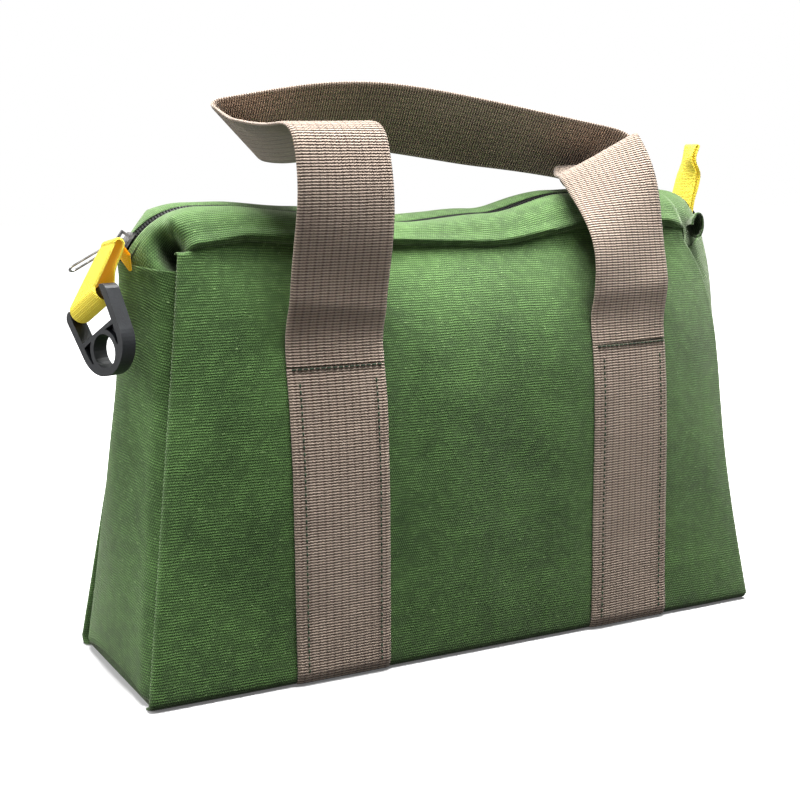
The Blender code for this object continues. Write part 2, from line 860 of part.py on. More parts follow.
def make_left_tab(webbing):
    hinge = left_hinge()
    side = np.array([0.0, -1.0, 0.0])
    out = seam_gap + tab_thickness / 2
    start = tab_seat(LEFT) + np.array([-out, left_tab_side, -canvas])
    finish = hinge + np.array([left_tab_fold + tab_thickness + tab_clearance, 0, -left_tab_fold])
    add_ribbon("left_tab_root", (start, finish), (side, side), tab_width, tab_thickness, webbing)
    bar, down, face = ring_axes()
    centre = bar_centre()
    wrap_reach = math.hypot(ring_neck_depth, ring_bar) / 2 + wrap_clearance + tab_thickness / 2
    rows = []
    fold = np.array([-1.0, 0.0, 0.0])
    for turn in fold_turns:
        angle = math.radians(turn)
        place = hinge + (-fold * math.cos(angle) + np.array([0, 0, 1]) * math.sin(angle)) * left_tab_fold
        rows.append((*place, *side))
    wrap = []
    for step in range(wrap_steps + 1):
        angle = math.pi * step / wrap_steps
        place = centre + (face * math.cos(angle) + down * math.sin(angle)) * wrap_reach
        wrap.append((*place, *bar))
    wrap.insert(0, (*(centre + face * wrap_reach - down * wrap_riser), *bar))
    wrap.append((*(centre - face * wrap_reach - down * wrap_riser), *bar))
    first, last = np.array(rows[-1]), np.array(wrap[0])
    rows += [tuple(first * (1 - share) + last * share) for share in leg_shares]
    rows += wrap
    first, last = np.array(wrap[-1]), np.array(rows[0])
    rows += [tuple(first * (1 - share) + last * share) for share in leg_shares]
    path = np.array(rows)
    add_ribbon(
        "left_tab", path[:, :3], path[:, 3:], tab_width, tab_thickness, webbing, left_hinge(), closed=True
    )


def right_hinge():
    place, normal = end_track(RIGHT, 1 - right_curl_radius * math.radians(right_tab_turn) / end_length(RIGHT))
    return place + normal * (cloth_top() + right_tab_seat + tab_thickness)


def make_right_tab(webbing):
    hinge = right_hinge()
    table = np.array([smooth_rows(right_tab_shares, step / tab_rows) for step in range(tab_rows + 1)])
    flat = np.zeros(len(table))
    middles = hinge + np.stack([table[:, 1] * right_tab_sway, flat, table[:, 0] * right_tab_rise], axis=1)
    near = []
    far = []
    for middle, run, room in zip(middles, np.gradient(middles, axis=0), table[:, 2]):
        up = unit(run)
        half = np.array([up[2], 0, -up[0]]) * room * right_tab_room / 2
        near.append(middle - half)
        far.append(middle + half)
    crown = []
    for step in range(1, wrap_steps):
        angle = math.pi * step / wrap_steps
        crown.append(middles[-1] - half * math.cos(angle) + up * np.linalg.norm(half) * math.sin(angle))
    path = np.array(near + crown + far[::-1])
    widths = np.tile((0.0, -1.0, 0.0), (len(path), 1))
    add_ribbon("right_tab", path, widths, right_tab_width, tab_thickness, webbing, hinge)


# Ring with its bar on the hinge line; local X along the bar, local Z up the ring


def ring_half(height):
    foot = ring_bar / 2 - ring_height + ring_foot_radius
    if height > foot:
        share = (height - foot) / (ring_bar / 2 - foot)
        return ring_foot_radius + (ring_width / 2 - ring_foot_radius) * share
    return math.sqrt(max(ring_foot_radius**2 - (foot - height) ** 2, 0))


def make_ring(plastic):
    bar, down, face = ring_axes()
    matrix = Matrix((bar, face, -down)).transposed()
    if matrix.determinant() < 0:
        matrix = Matrix((-bar, face, -down)).transposed()
    matrix = Matrix.Translation(Vector(bar_centre())) @ matrix.to_4x4()
    top = ring_bar / 2
    foot = top - ring_height + ring_foot_radius
    outline = ring_of_points(ring_foot_radius, foot, -180, 0, round_steps)
    corner = top - ring_corner
    edge = ring_width / 2 - ring_corner
    for start, sign in ((0, 1), (90, -1)):
        for step in range(corner_steps + 1):
            angle = math.radians(start + 90 * step / corner_steps)
            x = sign * edge + ring_corner * math.cos(angle)
            outline.append((x, corner + ring_corner * math.sin(angle)))
    thick = ring_thickness / 2
    ring = place_mesh(prism_mesh("clip_ring", outline, -thick, thick), "clip_ring", plastic, matrix)
    over = 2 * thick
    wall = eye_radius + eye_wall
    eye = top - ring_height + eye_wall + eye_rim + eye_radius
    slot_top = -ring_bar / 2
    slot_low = eye + wall - slot_overlap
    slot = [
        (-ring_half(slot_low) + ring_rail, slot_low),
        (ring_half(slot_low) - ring_rail, slot_low),
        (ring_half(slot_top) - ring_rail, slot_top),
        (-ring_half(slot_top) + ring_rail, slot_top),
    ]
    combine(ring, prism_mesh("ring_slot", slot, -over, over), "DIFFERENCE")
    neck = ring_neck_width / 2
    for depths, label in (((-over, -ring_neck_depth / 2), "far"), ((ring_neck_depth / 2, over), "near")):
        cut = block_mesh(f"ring_neck_{label}", (-neck, depths[0], -ring_bar), (neck, depths[1], ring_bar))
        combine(ring, cut, "DIFFERENCE")
    for side in (LEFT, RIGHT):
        pocket = []
        for share in pocket_shares:
            angle = math.radians(pocket_low_angle + (pocket_high_angle - pocket_low_angle) * share)
            pocket.append((side * wall * math.cos(angle), eye + wall * math.sin(angle)))
        for share in reversed(pocket_shares):
            low = eye + wall * math.sin(math.radians(pocket_low_angle))
            high = slot_low - pocket_web
            height = low + (high - low) * share
            pocket.append((side * (ring_half(height) - ring_rail), height))
        for face_side, label in ((RIGHT, "near"), (LEFT, "far")):
            depths = sorted((face_side * pocket_web / 2, face_side * over))
            name = f"ring_pocket_{'left' if side < 0 else 'right'}_{label}"
            combine(ring, prism_mesh(name, pocket, depths[0], depths[1]), "DIFFERENCE")
    hole = ring_of_points(eye_radius, eye, 0, 360 - 360 / round_steps, round_steps - 1)
    combine(ring, prism_mesh("ring_eye", hole, -over, over), "DIFFERENCE")


def main():
    clear_scene()
    cloth = make_material("green_canvas", cloth_green, 0.9)
    webbing = make_material("brown_webbing", webbing_brown, 0.8)
    yellow = make_material("yellow_webbing", tab_yellow, 0.7)
    tape = make_material("black_tape", zip_black, 0.8)
    teeth = make_material("black_teeth", zip_black, 0.4)
    plastic = make_material("black_plastic", ring_black, 0.45)
    metal = make_material("zip_metal", metal_grey, 0.3, 1.0)
    thread = make_material("green_thread", thread_green, 0.7)
    make_panels(cloth)
    make_top(cloth, tape, teeth)
    make_stops(metal)
    make_slider(metal)
    make_pull(metal)
    make_straps(webbing, thread)
    make_front_handle(webbing)
    make_rear_handle(webbing)
    make_left_tab(yellow)
    make_right_tab(yellow)
    make_ring(plastic)


main()
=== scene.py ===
import math

import bpy
import numpy as np
from mathutils import Matrix, Vector, noise


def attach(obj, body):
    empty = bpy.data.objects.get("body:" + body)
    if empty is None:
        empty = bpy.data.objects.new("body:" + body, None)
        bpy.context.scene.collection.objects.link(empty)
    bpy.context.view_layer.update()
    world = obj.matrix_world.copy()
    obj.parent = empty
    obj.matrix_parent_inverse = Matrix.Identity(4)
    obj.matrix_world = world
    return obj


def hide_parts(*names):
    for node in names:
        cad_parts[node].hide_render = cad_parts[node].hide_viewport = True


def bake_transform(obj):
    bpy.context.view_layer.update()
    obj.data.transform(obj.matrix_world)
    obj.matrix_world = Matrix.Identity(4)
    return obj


# Canvas tool bag: cloth, webbing, zip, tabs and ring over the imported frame
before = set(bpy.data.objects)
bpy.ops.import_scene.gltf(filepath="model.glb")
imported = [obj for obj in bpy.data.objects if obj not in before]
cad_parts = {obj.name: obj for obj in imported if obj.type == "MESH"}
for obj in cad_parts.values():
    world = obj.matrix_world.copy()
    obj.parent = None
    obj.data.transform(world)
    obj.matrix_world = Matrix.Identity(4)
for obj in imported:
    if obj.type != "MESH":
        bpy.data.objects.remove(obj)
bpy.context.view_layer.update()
print("frame loaded:", len(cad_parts), "nodes")

front = -1
rear = 1
left = -1
right = 1


# Small helpers for shapes

def smoothStep(low, high, value):
    share = np.clip((value - low) / (high - low), 0.0, 1.0)
    return share * share * (3 - 2 * share)


def unit(vector):
    vector = np.asarray(vector, float)
    return vector / max(np.linalg.norm(vector), 1e-12)


def splineAt(rows, place):
    # smooth curve through evenly spaced rows, place runs from 0 to 1
    rows = np.asarray(rows, float)
    spans = len(rows) - 1
    spot = min(max(place * spans, 0.0), spans)
    index = min(int(spot), spans - 1)
    share = spot - index
    start, end = rows[index], rows[index + 1]
    before = rows[index - 1] if index > 0 else 2 * start - end
    after = rows[index + 2] if index + 2 <= spans else 2 * end - start
    return 0.5 * (
        2 * start
        + (end - before) * share
        + (2 * before - 5 * start + 4 * end - after) * share**2
        + (3 * start - before - 3 * end + after) * share**3
    )


def smoothPath(rows, count):
    return np.array([splineAt(rows, place) for place in np.linspace(0, 1, count)])


def tableAt(table, x, ease=0.5):
    # height from a table of (place, height), eased between its rows
    places = [row[0] for row in table]
    spot = min(max(x, places[0]), places[-1])
    index = max(min(int(np.searchsorted(places, spot)) - 1, len(places) - 2), 0)
    share = (spot - places[index]) / (places[index + 1] - places[index])
    eased = share * share * (3 - 2 * share)
    low, high = table[index][1], table[index + 1][1]
    return low + (high - low) * ((1 - ease) * share + ease * eased)


def ripple(x, y, z, size, seed):
    return noise.noise(Vector((x / size + seed * 7.3, y / size - seed * 3.1, z / size + seed)))


def gridUv(grid, acrossStart=0.0):
    # cloth coordinates in metres: first along the columns, then up each column
    u, v = np.zeros(grid.shape[:2]), np.zeros(grid.shape[:2])
    u[1:] = np.cumsum(np.linalg.norm(np.diff(grid, axis=0), axis=2), axis=0)
    v[:, 1:] = np.cumsum(np.linalg.norm(np.diff(grid, axis=1), axis=2), axis=1)
    u[:] = u[:, grid.shape[1] // 2][:, None]
    return np.stack([u + acrossStart, v], axis=2)


class Sheets:
    # gathers grids of points into one mesh with cloth coordinates
    def __init__(self):
        self.points, self.faces, self.uvs, self.slots = [], [], [], []

    def add(self, grid, uv=None, slot=0, flip=False, closed=False):
        grid = np.asarray(grid, float)
        uv = gridUv(grid) if uv is None else uv
        base = len(self.points)
        columns, rows = grid.shape[:2]
        self.points += [tuple(point) for point in grid.reshape(-1, 3)]
        flat = uv.reshape(-1, 2)
        for i in range(columns if closed else columns - 1):
            for j in range(rows - 1):
                after = (i + 1) % columns
                corners = [i * rows + j, after * rows + j, after * rows + j + 1, i * rows + j + 1]
                if flip:
                    corners.reverse()
                self.faces.append([base + corner for corner in corners])
                self.uvs += [tuple(flat[corner]) for corner in corners]
                self.slots.append(slot)

    def addPrism(self, points, sides, flip=False):
        # rings of points joined side by side, with a cap at each end
        base, count = len(self.points), len(points)
        faces = [(0, *range(sides - 1, 0, -1)), tuple(range(count - sides, count))]
        for low in range(0, count - sides, sides):
            for corner in range(sides):
                after = (corner + 1) % sides
                faces.append((low + corner, low + after, low + sides + after, low + sides + corner))
        self.points += [tuple(point) for point in points]
        for face in faces:
            self.faces.append([base + corner for corner in (reversed(face) if flip else face)])
            self.uvs += [(0.0, 0.0)] * len(face)
            self.slots.append(0)

    def build(self, name, materials, smooth=True):
        mesh = bpy.data.meshes.new(name)
        mesh.from_pydata(self.points, [], self.faces)
        layer = mesh.uv_layers.new(name="cloth")
        layer.data.foreach_set("uv", np.array(self.uvs, float).ravel())
        for material in materials:
            mesh.materials.append(material)
        mesh.polygons.foreach_set("material_index", self.slots)
        mesh.polygons.foreach_set("use_smooth", [smooth] * len(self.faces))
        mesh.update()
        piece = bpy.data.objects.new(name, mesh)
        bpy.context.collection.objects.link(piece)
        return piece


def buildSheet(name, materials, grid, uv=None, flip=False, closed=False):
    sheets = Sheets()
    sheets.add(grid, uv, flip=flip, closed=closed)
    return sheets.build(name, materials)


def assign(piece, slotName, *names, ride=None):
    # hides the solids it stands for, and puts it on its body where it rides on one alone
    if ride:
        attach(piece, ride)
    if names:
        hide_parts(*names)


# Materials

def addNode(tree, kind, **values):
    node = tree.nodes.new(kind)
    for key, value in values.items():
        setattr(node, key, value)
    return node


def plug(tree, value, socket):
    # links what nodes make, and sets a plain value
    if isinstance(value, Number):
        value = value.socket
    if isinstance(value, bpy.types.NodeSocket):
        tree.links.new(value, socket)
    else:
        socket.default_value = (*value, 1.0) if socket.type == "RGBA" else value


class Number:
    # a number in a node tree, so that plain sums add its nodes
    def __init__(self, tree, socket):
        self.tree, self.socket = tree, socket

    def calc(self, operation, *others):
        node = addNode(self.tree, "ShaderNodeMath", operation=operation)
        for value, socket in zip((self, *others), node.inputs):
            plug(self.tree, value, socket)
        return Number(self.tree, node.outputs[0])

    def __add__(self, other):
        return self.calc("ADD", other)

    def __sub__(self, other):
        return self.calc("SUBTRACT", other)

    def __mul__(self, other):
        return self.calc("MULTIPLY", other)

    def swing(self, pitch=1.0, way="COSINE", size=0.5, shift=0.0):
        # a wave from 0 to 1 that repeats at each pitch
        return (self * (2 * math.pi / pitch) + shift).calc(way) * size + 0.5

    def between(self, low, high, newLow=0.0, newHigh=1.0):
        node = addNode(self.tree, "ShaderNodeMapRange", interpolation_type="SMOOTHSTEP")
        for value, socket in zip((self, low, high, newLow, newHigh), node.inputs):
            plug(self.tree, value, socket)
        return Number(self.tree, node.outputs["Result"])


def mixColour(tree, factor, first, second):
    node = addNode(tree, "ShaderNodeMix", data_type="RGBA")
    for index, value in ((0, factor), (6, first), (7, second)):
        plug(tree, value, node.inputs[index])
    return node.outputs[2]


def noiseValue(tree, vector, scale, detail=2.0, roughness=0.5):
    node = addNode(tree, "ShaderNodeTexNoise")
    for value, key in ((vector, "Vector"), (scale, "Scale"), (detail, "Detail"), (roughness, "Roughness")):
        plug(tree, value, node.inputs[key])
    return Number(tree, node.outputs["Fac"])


def startMaterial(
    name, roughness, sheen=0.0, sheenRoughness=0.5, sheenTint=(1, 1, 1), metallic=0.0, specular=0.5,
):
    material = bpy.data.materials.new(name)
    material.use_nodes = True
    tree = material.node_tree
    shader = tree.nodes["Principled BSDF"]
    finish = {
        "Roughness": roughness, "Metallic": metallic, "Specular IOR Level": specular,
        "Sheen Weight": sheen, "Sheen Roughness": sheenRoughness, "Sheen Tint": sheenTint,
    }
    for key, value in finish.items():
        plug(tree, value, shader.inputs[key])
    return material, tree, shader


def clothCoordinates(tree):
    uv = addNode(tree, "ShaderNodeUVMap", uv_map="cloth").outputs["UV"]
    split = addNode(tree, "ShaderNodeSeparateXYZ")
    plug(tree, uv, split.inputs[0])
    return uv, Number(tree, split.outputs["X"]), Number(tree, split.outputs["Y"])


def bumpInto(tree, shader, height, distance, strength=1.0):
    bump = addNode(tree, "ShaderNodeBump")
    plug(tree, strength, bump.inputs["Strength"])
    plug(tree, distance, bump.inputs["Distance"])
    plug(tree, height, bump.inputs["Height"])
    plug(tree, bump.outputs["Normal"], shader.inputs["Normal"])


canvasLook = {
    "dark": (0.013, 0.033, 0.009),
    "light": (0.138, 0.280, 0.076),
    "fleck": (0.400, 0.600, 0.250),
    "fleckShare": 0.60,
    # painted shade: how far the occlusion darkening reaches, and how dark it makes the colour
    "paintedShadeReach": 0.014,
    "paintedShadeTone": 0.16,
    "ribPitch": 0.0013,
    "threadPitch": 0.0011,
    "wander": 0.0012,
    "wanderScale": 130.0,
    "slubScale": (350.0, 900.0, 1.0),
    "wornScale": 170.0,
    "toneScale": 22.0,
    "roughness": 0.92,
    "sheen": 0.42,
    "sheenTint": (0.90, 1.0, 0.76),
    "bump": 0.00036,
}


def makeCanvas(name, look):
    sheen = (look["sheen"], 0.5, look["sheenTint"])
    material, tree, shader = startMaterial(name, look["roughness"], *sheen, specular=0.15)
    coordinates, u, v = clothCoordinates(tree)
    v = v + (noiseValue(tree, coordinates, look["wanderScale"], 3.0) - 0.5) * look["wander"]
    row = v.calc("DIVIDE", look["ribPitch"]).calc("FLOOR")
    ribShare = v.swing(look["ribPitch"], "SINE")
    threadShare = u.swing(look["threadPitch"], "SINE", shift=row * math.pi)
    stretched = addNode(tree, "ShaderNodeMapping")
    plug(tree, coordinates, stretched.inputs["Vector"])
    plug(tree, look["slubScale"], stretched.inputs["Scale"])
    slub = noiseValue(tree, stretched.outputs[0], 1.0, 2.0, 0.6)
    worn = noiseValue(tree, coordinates, look["wornScale"]).between(0.30, 0.70, 0.35, 1.0)
    tone = noiseValue(tree, coordinates, look["toneScale"], 4.0, 0.6)
    height = threadShare * 0.35 + ribShare * worn * 0.65
    amount = (tone * 0.55 + height * 0.62 - 0.06).between(0.05, 0.95)
    base = mixColour(tree, amount, look["dark"], look["light"])
    colour = mixColour(tree, slub.between(0.62, 0.78) * look["fleckShare"], base, look["fleck"])
    # painted shade: ambient occlusion darkens the colour in folds and in the cloth beside a strap
    shade = addNode(tree, "ShaderNodeAmbientOcclusion", samples=6)
    plug(tree, look["paintedShadeReach"], shade.inputs["Distance"])
    plug(tree, colour, shade.inputs["Color"])
    deep = mixColour(tree, look["paintedShadeTone"], (0.0, 0.0, 0.0), colour)
    openness = Number(tree, shade.outputs["AO"]).between(0.15, 0.85)
    plug(tree, mixColour(tree, openness, deep, colour), shader.inputs["Base Color"])
    bumpInto(tree, shader, slub * 0.5 + height, look["bump"])
    return material


webbingLook = {
    "dark": (0.055, 0.026, 0.018),
    "light": (0.530, 0.415, 0.325),
    "rowPitch": 0.00138,
    "beadPitch": 0.0020,
    "stagger": 0.0,
    "ribPitch": 0.0040,
    "rowShare": 0.82,
    "slant": 0.10,
    "waver": 0.0005,
    "waverScale": 90.0,
    "fineScale": 1500.0,
    "toneScale": 40.0,
    "sheen": 0.30,
    "roughness": 0.70,
    "ribDepth": 0.17,
    "bump": 0.0007,
    "glow": 0.0,
}
tabLook = dict(
    webbingLook,
    dark=(0.930, 0.600, 0.020),
    light=(0.985, 0.860, 0.090),
    rowPitch=0.00075,
    beadPitch=0.0012,
    stagger=0.5,
    ribPitch=0.0012,
    rowShare=0.30,
    slant=0.0,
    sheen=0.10,
    roughness=0.60,
    ribDepth=0.25,
    # painted glow: the yellow tabs give off some of their own colour as light
    glow=0.22,
)
# painted shade: a darker orange copy of the yellow webbing, for its faces in shade
tabShadedLook = dict(tabLook, dark=(0.960, 0.400, 0.004), light=(0.980, 0.620, 0.020))


def makeWebbing(name, look):
    material, tree, shader = startMaterial(name, look["roughness"], look["sheen"], 0.4, specular=0.3)
    coordinates, u, v = clothCoordinates(tree)
    v = v + (noiseValue(tree, coordinates, look["waverScale"]) - 0.5) * look["waver"]
    row = v.calc("DIVIDE", look["rowPitch"]).calc("FLOOR")
    bead = (u * (1 / look["beadPitch"]) + row * look["stagger"]).calc("FRACT") - 0.5
    # rows run level, and each bead leans a little by itself
    rowShare = (bead * (look["slant"] * look["beadPitch"]) + v).swing(look["rowPitch"], size=-0.5)
    height = rowShare * look["rowShare"] + bead.swing() * (1 - look["rowShare"])
    height = height + u.swing(look["ribPitch"]) * look["ribDepth"]
    fine = noiseValue(tree, coordinates, look["fineScale"], 2.0, 0.6)
    tone = noiseValue(tree, coordinates, look["toneScale"], 3.0)
    amount = (height - 0.36 + fine * 0.45 + tone * 0.30).between(0.0, 0.95)
    colour = mixColour(tree, amount, look["dark"], look["light"])
    plug(tree, colour, shader.inputs["Base Color"])
    # painted glow: the webbing also gives off its colour as emission, so the thin tabs look lit through
    plug(tree, colour, shader.inputs["Emission Color"])
    plug(tree, look["glow"], shader.inputs["Emission Strength"])
    bumpInto(tree, shader, fine * 0.2 + height, look["bump"])
    return material


# dark and light colour, roughness, fineness of the grain, metal share, depth of the grain and shine
grainedLook = {
    "greenThread": ((0.010, 0.022, 0.010), (0.045, 0.080, 0.040), 0.70, 900.0, 0.0, 0.50, 0.50),
    "zipTape": ((0.002, 0.003, 0.002), (0.007, 0.008, 0.007), 0.85, 1200.0, 0.0, 0.60, 0.20),
    "zipTeeth": ((0.002, 0.002, 0.002), (0.006, 0.007, 0.006), 0.50, 700.0, 0.0, 0.10, 0.25),
    "ringPlastic": ((0.004, 0.005, 0.007), (0.011, 0.013, 0.016), 0.42, 1400.0, 0.0, 0.25, 0.50),
    "pullWire": ((0.22, 0.22, 0.21), (0.55, 0.54, 0.52), 0.26, 500.0, 1.0, 0.10, 0.50),
    "sliderMetal": ((0.12, 0.12, 0.12), (0.42, 0.41, 0.40), 0.32, 500.0, 1.0, 0.10, 0.50),
}


def makeGrained(name, dark, light, roughness, scale, metallic, bump, specular):
    material, tree, shader = startMaterial(name, roughness, metallic=metallic, specular=specular)
    place = addNode(tree, "ShaderNodeTexCoord").outputs["Object"]
    grain = noiseValue(tree, place, scale, 4.0, 0.6)
    mixed = (grain * 0.6 + noiseValue(tree, place, scale * 0.12) * 0.4).between(0.35, 0.65)
    plug(tree, mixColour(tree, mixed, dark, light), shader.inputs["Base Color"])
    rough = grain.between(0.3, 0.7, max(roughness - 0.08, 0.05), roughness + 0.08)
    plug(tree, rough, shader.inputs["Roughness"])
    bumpInto(tree, shader, grain, 0.0003, bump)
    return material


canvas = makeCanvas("greenCanvas", canvasLook)
webbing = makeWebbing("brownWebbing", webbingLook)
tabWeave = makeWebbing("yellowWebbing", tabLook)
tabShadedWeave = makeWebbing("yellowWebbingShaded", tabShadedLook)
grained = {name: makeGrained(name, *look) for name, look in grainedLook.items()}
print("materials ready")


# Body of the bag: four sewn sides and a base

body = {
    "baseLength": 0.358,
    "baseDepth": 0.114,
    "rimLength": 0.297,
    "rimDepth": 0.053,
    "rimHeight": 0.204,
    "panelBulge": 0.018,
    "fullness": 1.66,
    "fullnessPower": 5.5,
    "gussetBulge": 0.009,
    "shoulderBulge": 0.010,
    "tipReach": {left: 0.0195, right: 0.030},
    "tipLift": {left: -0.002, right: 0.006},
    # each roll or hem: how far it turns in degrees, and in how many steps
    "edgeRoll": 0.0027,
    "edgeTurn": (165, 6),
    "tuck": 0.0034,
    "footRoll": 0.0040,
    "footTurn": (100, 5),
    "rimRoll": 0.0016,
    "rimTurn": (170, 6),
    "hemRoll": 0.0008,
    "hemTurn": (170, 5),
    "hemFrom": 0.965,
    "rollDepth": 1.2,
    "wave": 0.0018,
    "fineWave": 0.0003,
    "gussetWave": 0.0012,
    "gussetFold": 0.55,
    "crestSoftness": 0.22,
    "gussetRimDrop": 0.0065,
    "recess": 0.0046,
    "recessShare": 0.22,
    "footLift": {left: 0.0066, right: 0.0030},
    "floorGap": 0.0004,
    "baseInset": 0.003,
    "baseHeight": 0.0011,
}
# seam between the front panel and the top strip, and the same behind
rimSeam = {
    front: [
        (-0.1485, 0.2075), (-0.139, 0.2105), (-0.113, 0.2140), (-0.095, 0.2125), (-0.043, 0.2100),
        (0.024, 0.2070), (0.061, 0.2120), (0.080, 0.2150), (0.134, 0.2150), (0.1485, 0.2115),
    ],
    rear: [
        (-0.1485, 0.2040), (-0.110, 0.2090), (-0.040, 0.2075),
        (0.030, 0.2060), (0.090, 0.2110), (0.1485, 0.2080),
    ],
}


def halfLength(h, end):
    plain = (body["baseLength"] + (body["rimLength"] - body["baseLength"]) * h) / 2
    if end == right and h < 1:
        plain += body["shoulderBulge"] * h**4 * (1 - h) / (0.8**4 * 0.2)
    return plain


def halfDepth(h):
    return (body["baseDepth"] + (body["rimDepth"] - body["baseDepth"]) * h) / 2


def panelShare(x, h):
    return (x + halfLength(h, left)) / (halfLength(h, left) + halfLength(h, right))


def plainDepth(x, z):
    # the filled panel stands out most at two thirds of its height
    h = z / body["rimHeight"]
    fullness = body["panelBulge"] * body["fullness"] * h * (1 - min(h, 1.0) ** body["fullnessPower"])
    return halfDepth(h) + fullness * max(1 - abs(2 * panelShare(x, h) - 1) ** 4, 0.0)


def panelDepth(x, z, face):
    # the plain depth with soft waves, which fade out at the seams
    share = panelShare(x, z / body["rimHeight"])
    soft = body["wave"] * ripple(x, 0.0, z * 0.45, 0.055, 3 + face)
    soft += body["fineWave"] * ripple(x, 0.0, z, 0.014, 9 + face)
    fade = min(1.0, z / 0.02) * min(1.0, max(share, 0.0) / 0.04, max(1 - share, 0.0) / 0.04)
    return plainDepth(x, z) + soft * fade


def rolledPlaces(low, high, count, lowTurn, highTurn):
    # places across a sheet with the turn at each, and a roll in steps at either edge
    places = [(low, math.radians(lowTurn[0]) * step / lowTurn[1]) for step in range(lowTurn[1], 0, -1)]
    places += [(share, 0.0) for share in np.linspace(low, high, count)]
    degrees, steps = highTurn
    return places + [(high, math.radians(degrees) * step / steps) for step in range(1, steps + 1)]


def panelGrid(face, columns=110, rows=64):
    roll, foot, rim, floorGap = (body[key] for key in ("edgeRoll", "footRoll", "rimRoll", "floorGap"))
    edgeTurn = math.radians(body["edgeTurn"][0])
    grid = []
    for place, sideTurn in rolledPlaces(-1.0, 1.0, columns, body["edgeTurn"], body["edgeTurn"]):
        column = []
        for level, endTurn in rolledPlaces(0.0, 1.0, rows, body["footTurn"], body["rimTurn"]):
            top = tableAt(rimSeam[face], place * body["rimLength"] / 2) - rim
            z = foot + (top - foot) * level
            half = halfLength(z / body["rimHeight"], left if place < 0 else right) - roll
            x = place * half
            y = panelDepth(x, z, face)
            x += math.copysign(roll * math.sin(sideTurn), place) if sideTurn else 0.0
            y -= roll * (1 - math.cos(sideTurn))
            if sideTurn > math.pi / 2:
                x -= math.copysign(body["tuck"] * smoothStep(math.pi / 2, edgeTurn, sideTurn), place)
            if level == 0.0:
                z -= foot * math.sin(endTurn) - floorGap
                y -= foot * (1 - math.cos(endTurn))
            if level == 1.0:
                z += rim * math.sin(endTurn)
                y -= rim * (1 - math.cos(endTurn)) * body["rollDepth"]
            column.append((x, face * y, max(z, floorGap)))
        grid.append(column)
    return np.array(grid)


def crest(t):
    # rounded fold down the middle of a gusset
    soft = body["crestSoftness"]
    folded = (math.sqrt(1 + soft**2) - math.sqrt(t * t + soft**2)) / (math.sqrt(1 + soft**2) - soft)
    return body["gussetFold"] * folded + (1 - body["gussetFold"]) * (1 - t * t)


def gussetRim(t):
    return body["rimHeight"] - body["gussetRimDrop"] * min(abs(t), 1.0) ** 1.2


def gussetGrid(end, columns=44, rows=64):
    foot, hem, floorGap = (body[key] for key in ("footRoll", "hemRoll", "floorGap"))
    grid = []
    for t in np.linspace(-1, 1, columns):
        column = []
        for level, endTurn in rolledPlaces(0.0, 1.0, rows, body["footTurn"], body["hemTurn"]):
            low = foot + body["footLift"][end] * (1 - t * t) ** 1.2
            z = low + (gussetRim(t) - low) * level
            h = z / body["rimHeight"]
            y = t * (halfDepth(h) - body["edgeRoll"] * 1.15)
            swell = body["gussetBulge"] * 4 * h * (1 - h) + body["tipReach"][end] * h**3
            recess = body["recess"] * (1 - smoothStep(0.0, body["recessShare"], 1 - abs(t)))
            x = halfLength(h, end) - recess + swell * crest(t)
            x += body["gussetWave"] * ripple(0.0, y, z * 0.5, 0.030, 5 + end) * (1 - abs(t) ** 4)
            z += body["tipLift"][end] * h**3 * crest(t)
            x += hem * smoothStep(body["hemFrom"], 1.0, level)
            if level == 0.0:
                z -= foot * math.sin(endTurn) - floorGap
                x -= foot * (1 - math.cos(endTurn))
            if level == 1.0:
                z += hem * math.sin(endTurn)
                x -= hem * (1 - math.cos(endTurn)) * body["rollDepth"]
            column.append((end * x, y, max(z, floorGap)))
        grid.append(column)
    return np.array(grid)


sheets = Sheets()
for face in (front, rear):
    sheets.add(panelGrid(face), flip=face == rear)
for end in (left, right):
    sheets.add(gussetGrid(end), flip=end == left)
halfX, halfY = body["baseLength"] / 2 - body["baseInset"], body["baseDepth"] / 2 - body["baseInset"]
baseX, baseY = np.linspace(-halfX, halfX, 40), np.linspace(-halfY, halfY, 16)
baseSheet = np.array([[(x, y, body["baseHeight"]) for y in baseY] for x in baseX])
sheets.add(baseSheet, flip=True)
bagBody = sheets.build("bagBody", [canvas])
bagNames = ("front_panel", "rear_panel", "left_gusset", "right_gusset", "base_panel")
assign(bagBody, "green_canvas", *bagNames, ride="bag")
print("sewn body ready")


# Zip line and the top strips beside it

zipLine = {
    "crown": 0.0215,
    "ends": {
        left: {"join": -0.118, "start": -0.131, "radius": 0.0375, "turn": 67.0},
        right: {"join": 0.058, "start": 0.144, "radius": 0.0335, "turn": 60.0},
    },
    # place and height as shares of half the rim's length and of the crown
    "height": [
        (-1.0, 1.0), (-0.80, 1.0), (-0.50, 0.82), (-0.16, 0.51),
        (0.20, 0.68), (0.54, 1.13), (0.80, 1.18), (1.0, 1.18),
    ],
    "hem": 0.0055,
    # rows of the hem under the strip's edge: back from the edge, and down
    "hemRows": ((0.0030, 0.0016), (0.0015, 0.0015), (0.0002, 0.0010), (-0.0003, 0.0004)),
    # rows inside the seam: down, and back
    "seamRows": ((0.0012, 0.0006), (0.0018, 0.0022), (0.0018, 0.0060)),
    "topLevel": 0.0022,
    "pillow": {front: 0.17, rear: 0.33},
    "pillowPower": 0.9,
    "pillowLean": 0.4,
    "endPillow": 0.12,
    "pillowFade": {left: 0.030, right: 0.026},
    "wave": 0.0009,
    "split": -0.075,
    "lip": 0.0027,
    "lipPlace": 0.93,
    "lipWidth": 0.06,
    "lipDrop": 0.3,
    "lipFade": {left: (0.0240, 0.0330), right: (0.036, 0.050)},
    # where a piece stops riding on the bag, and where it rides on the flap alone
    "blend": {left: (-0.150, -0.086), right: (0.148, 0.052)},
}


def trackHeight(x):
    return body["rimHeight"] + zipLine["crown"] * tableAt(zipLine["height"], x / (body["rimLength"] / 2), 1.0)


def curlRun(end):
    return zipLine["ends"][end]["radius"] * math.radians(zipLine["ends"][end]["turn"])


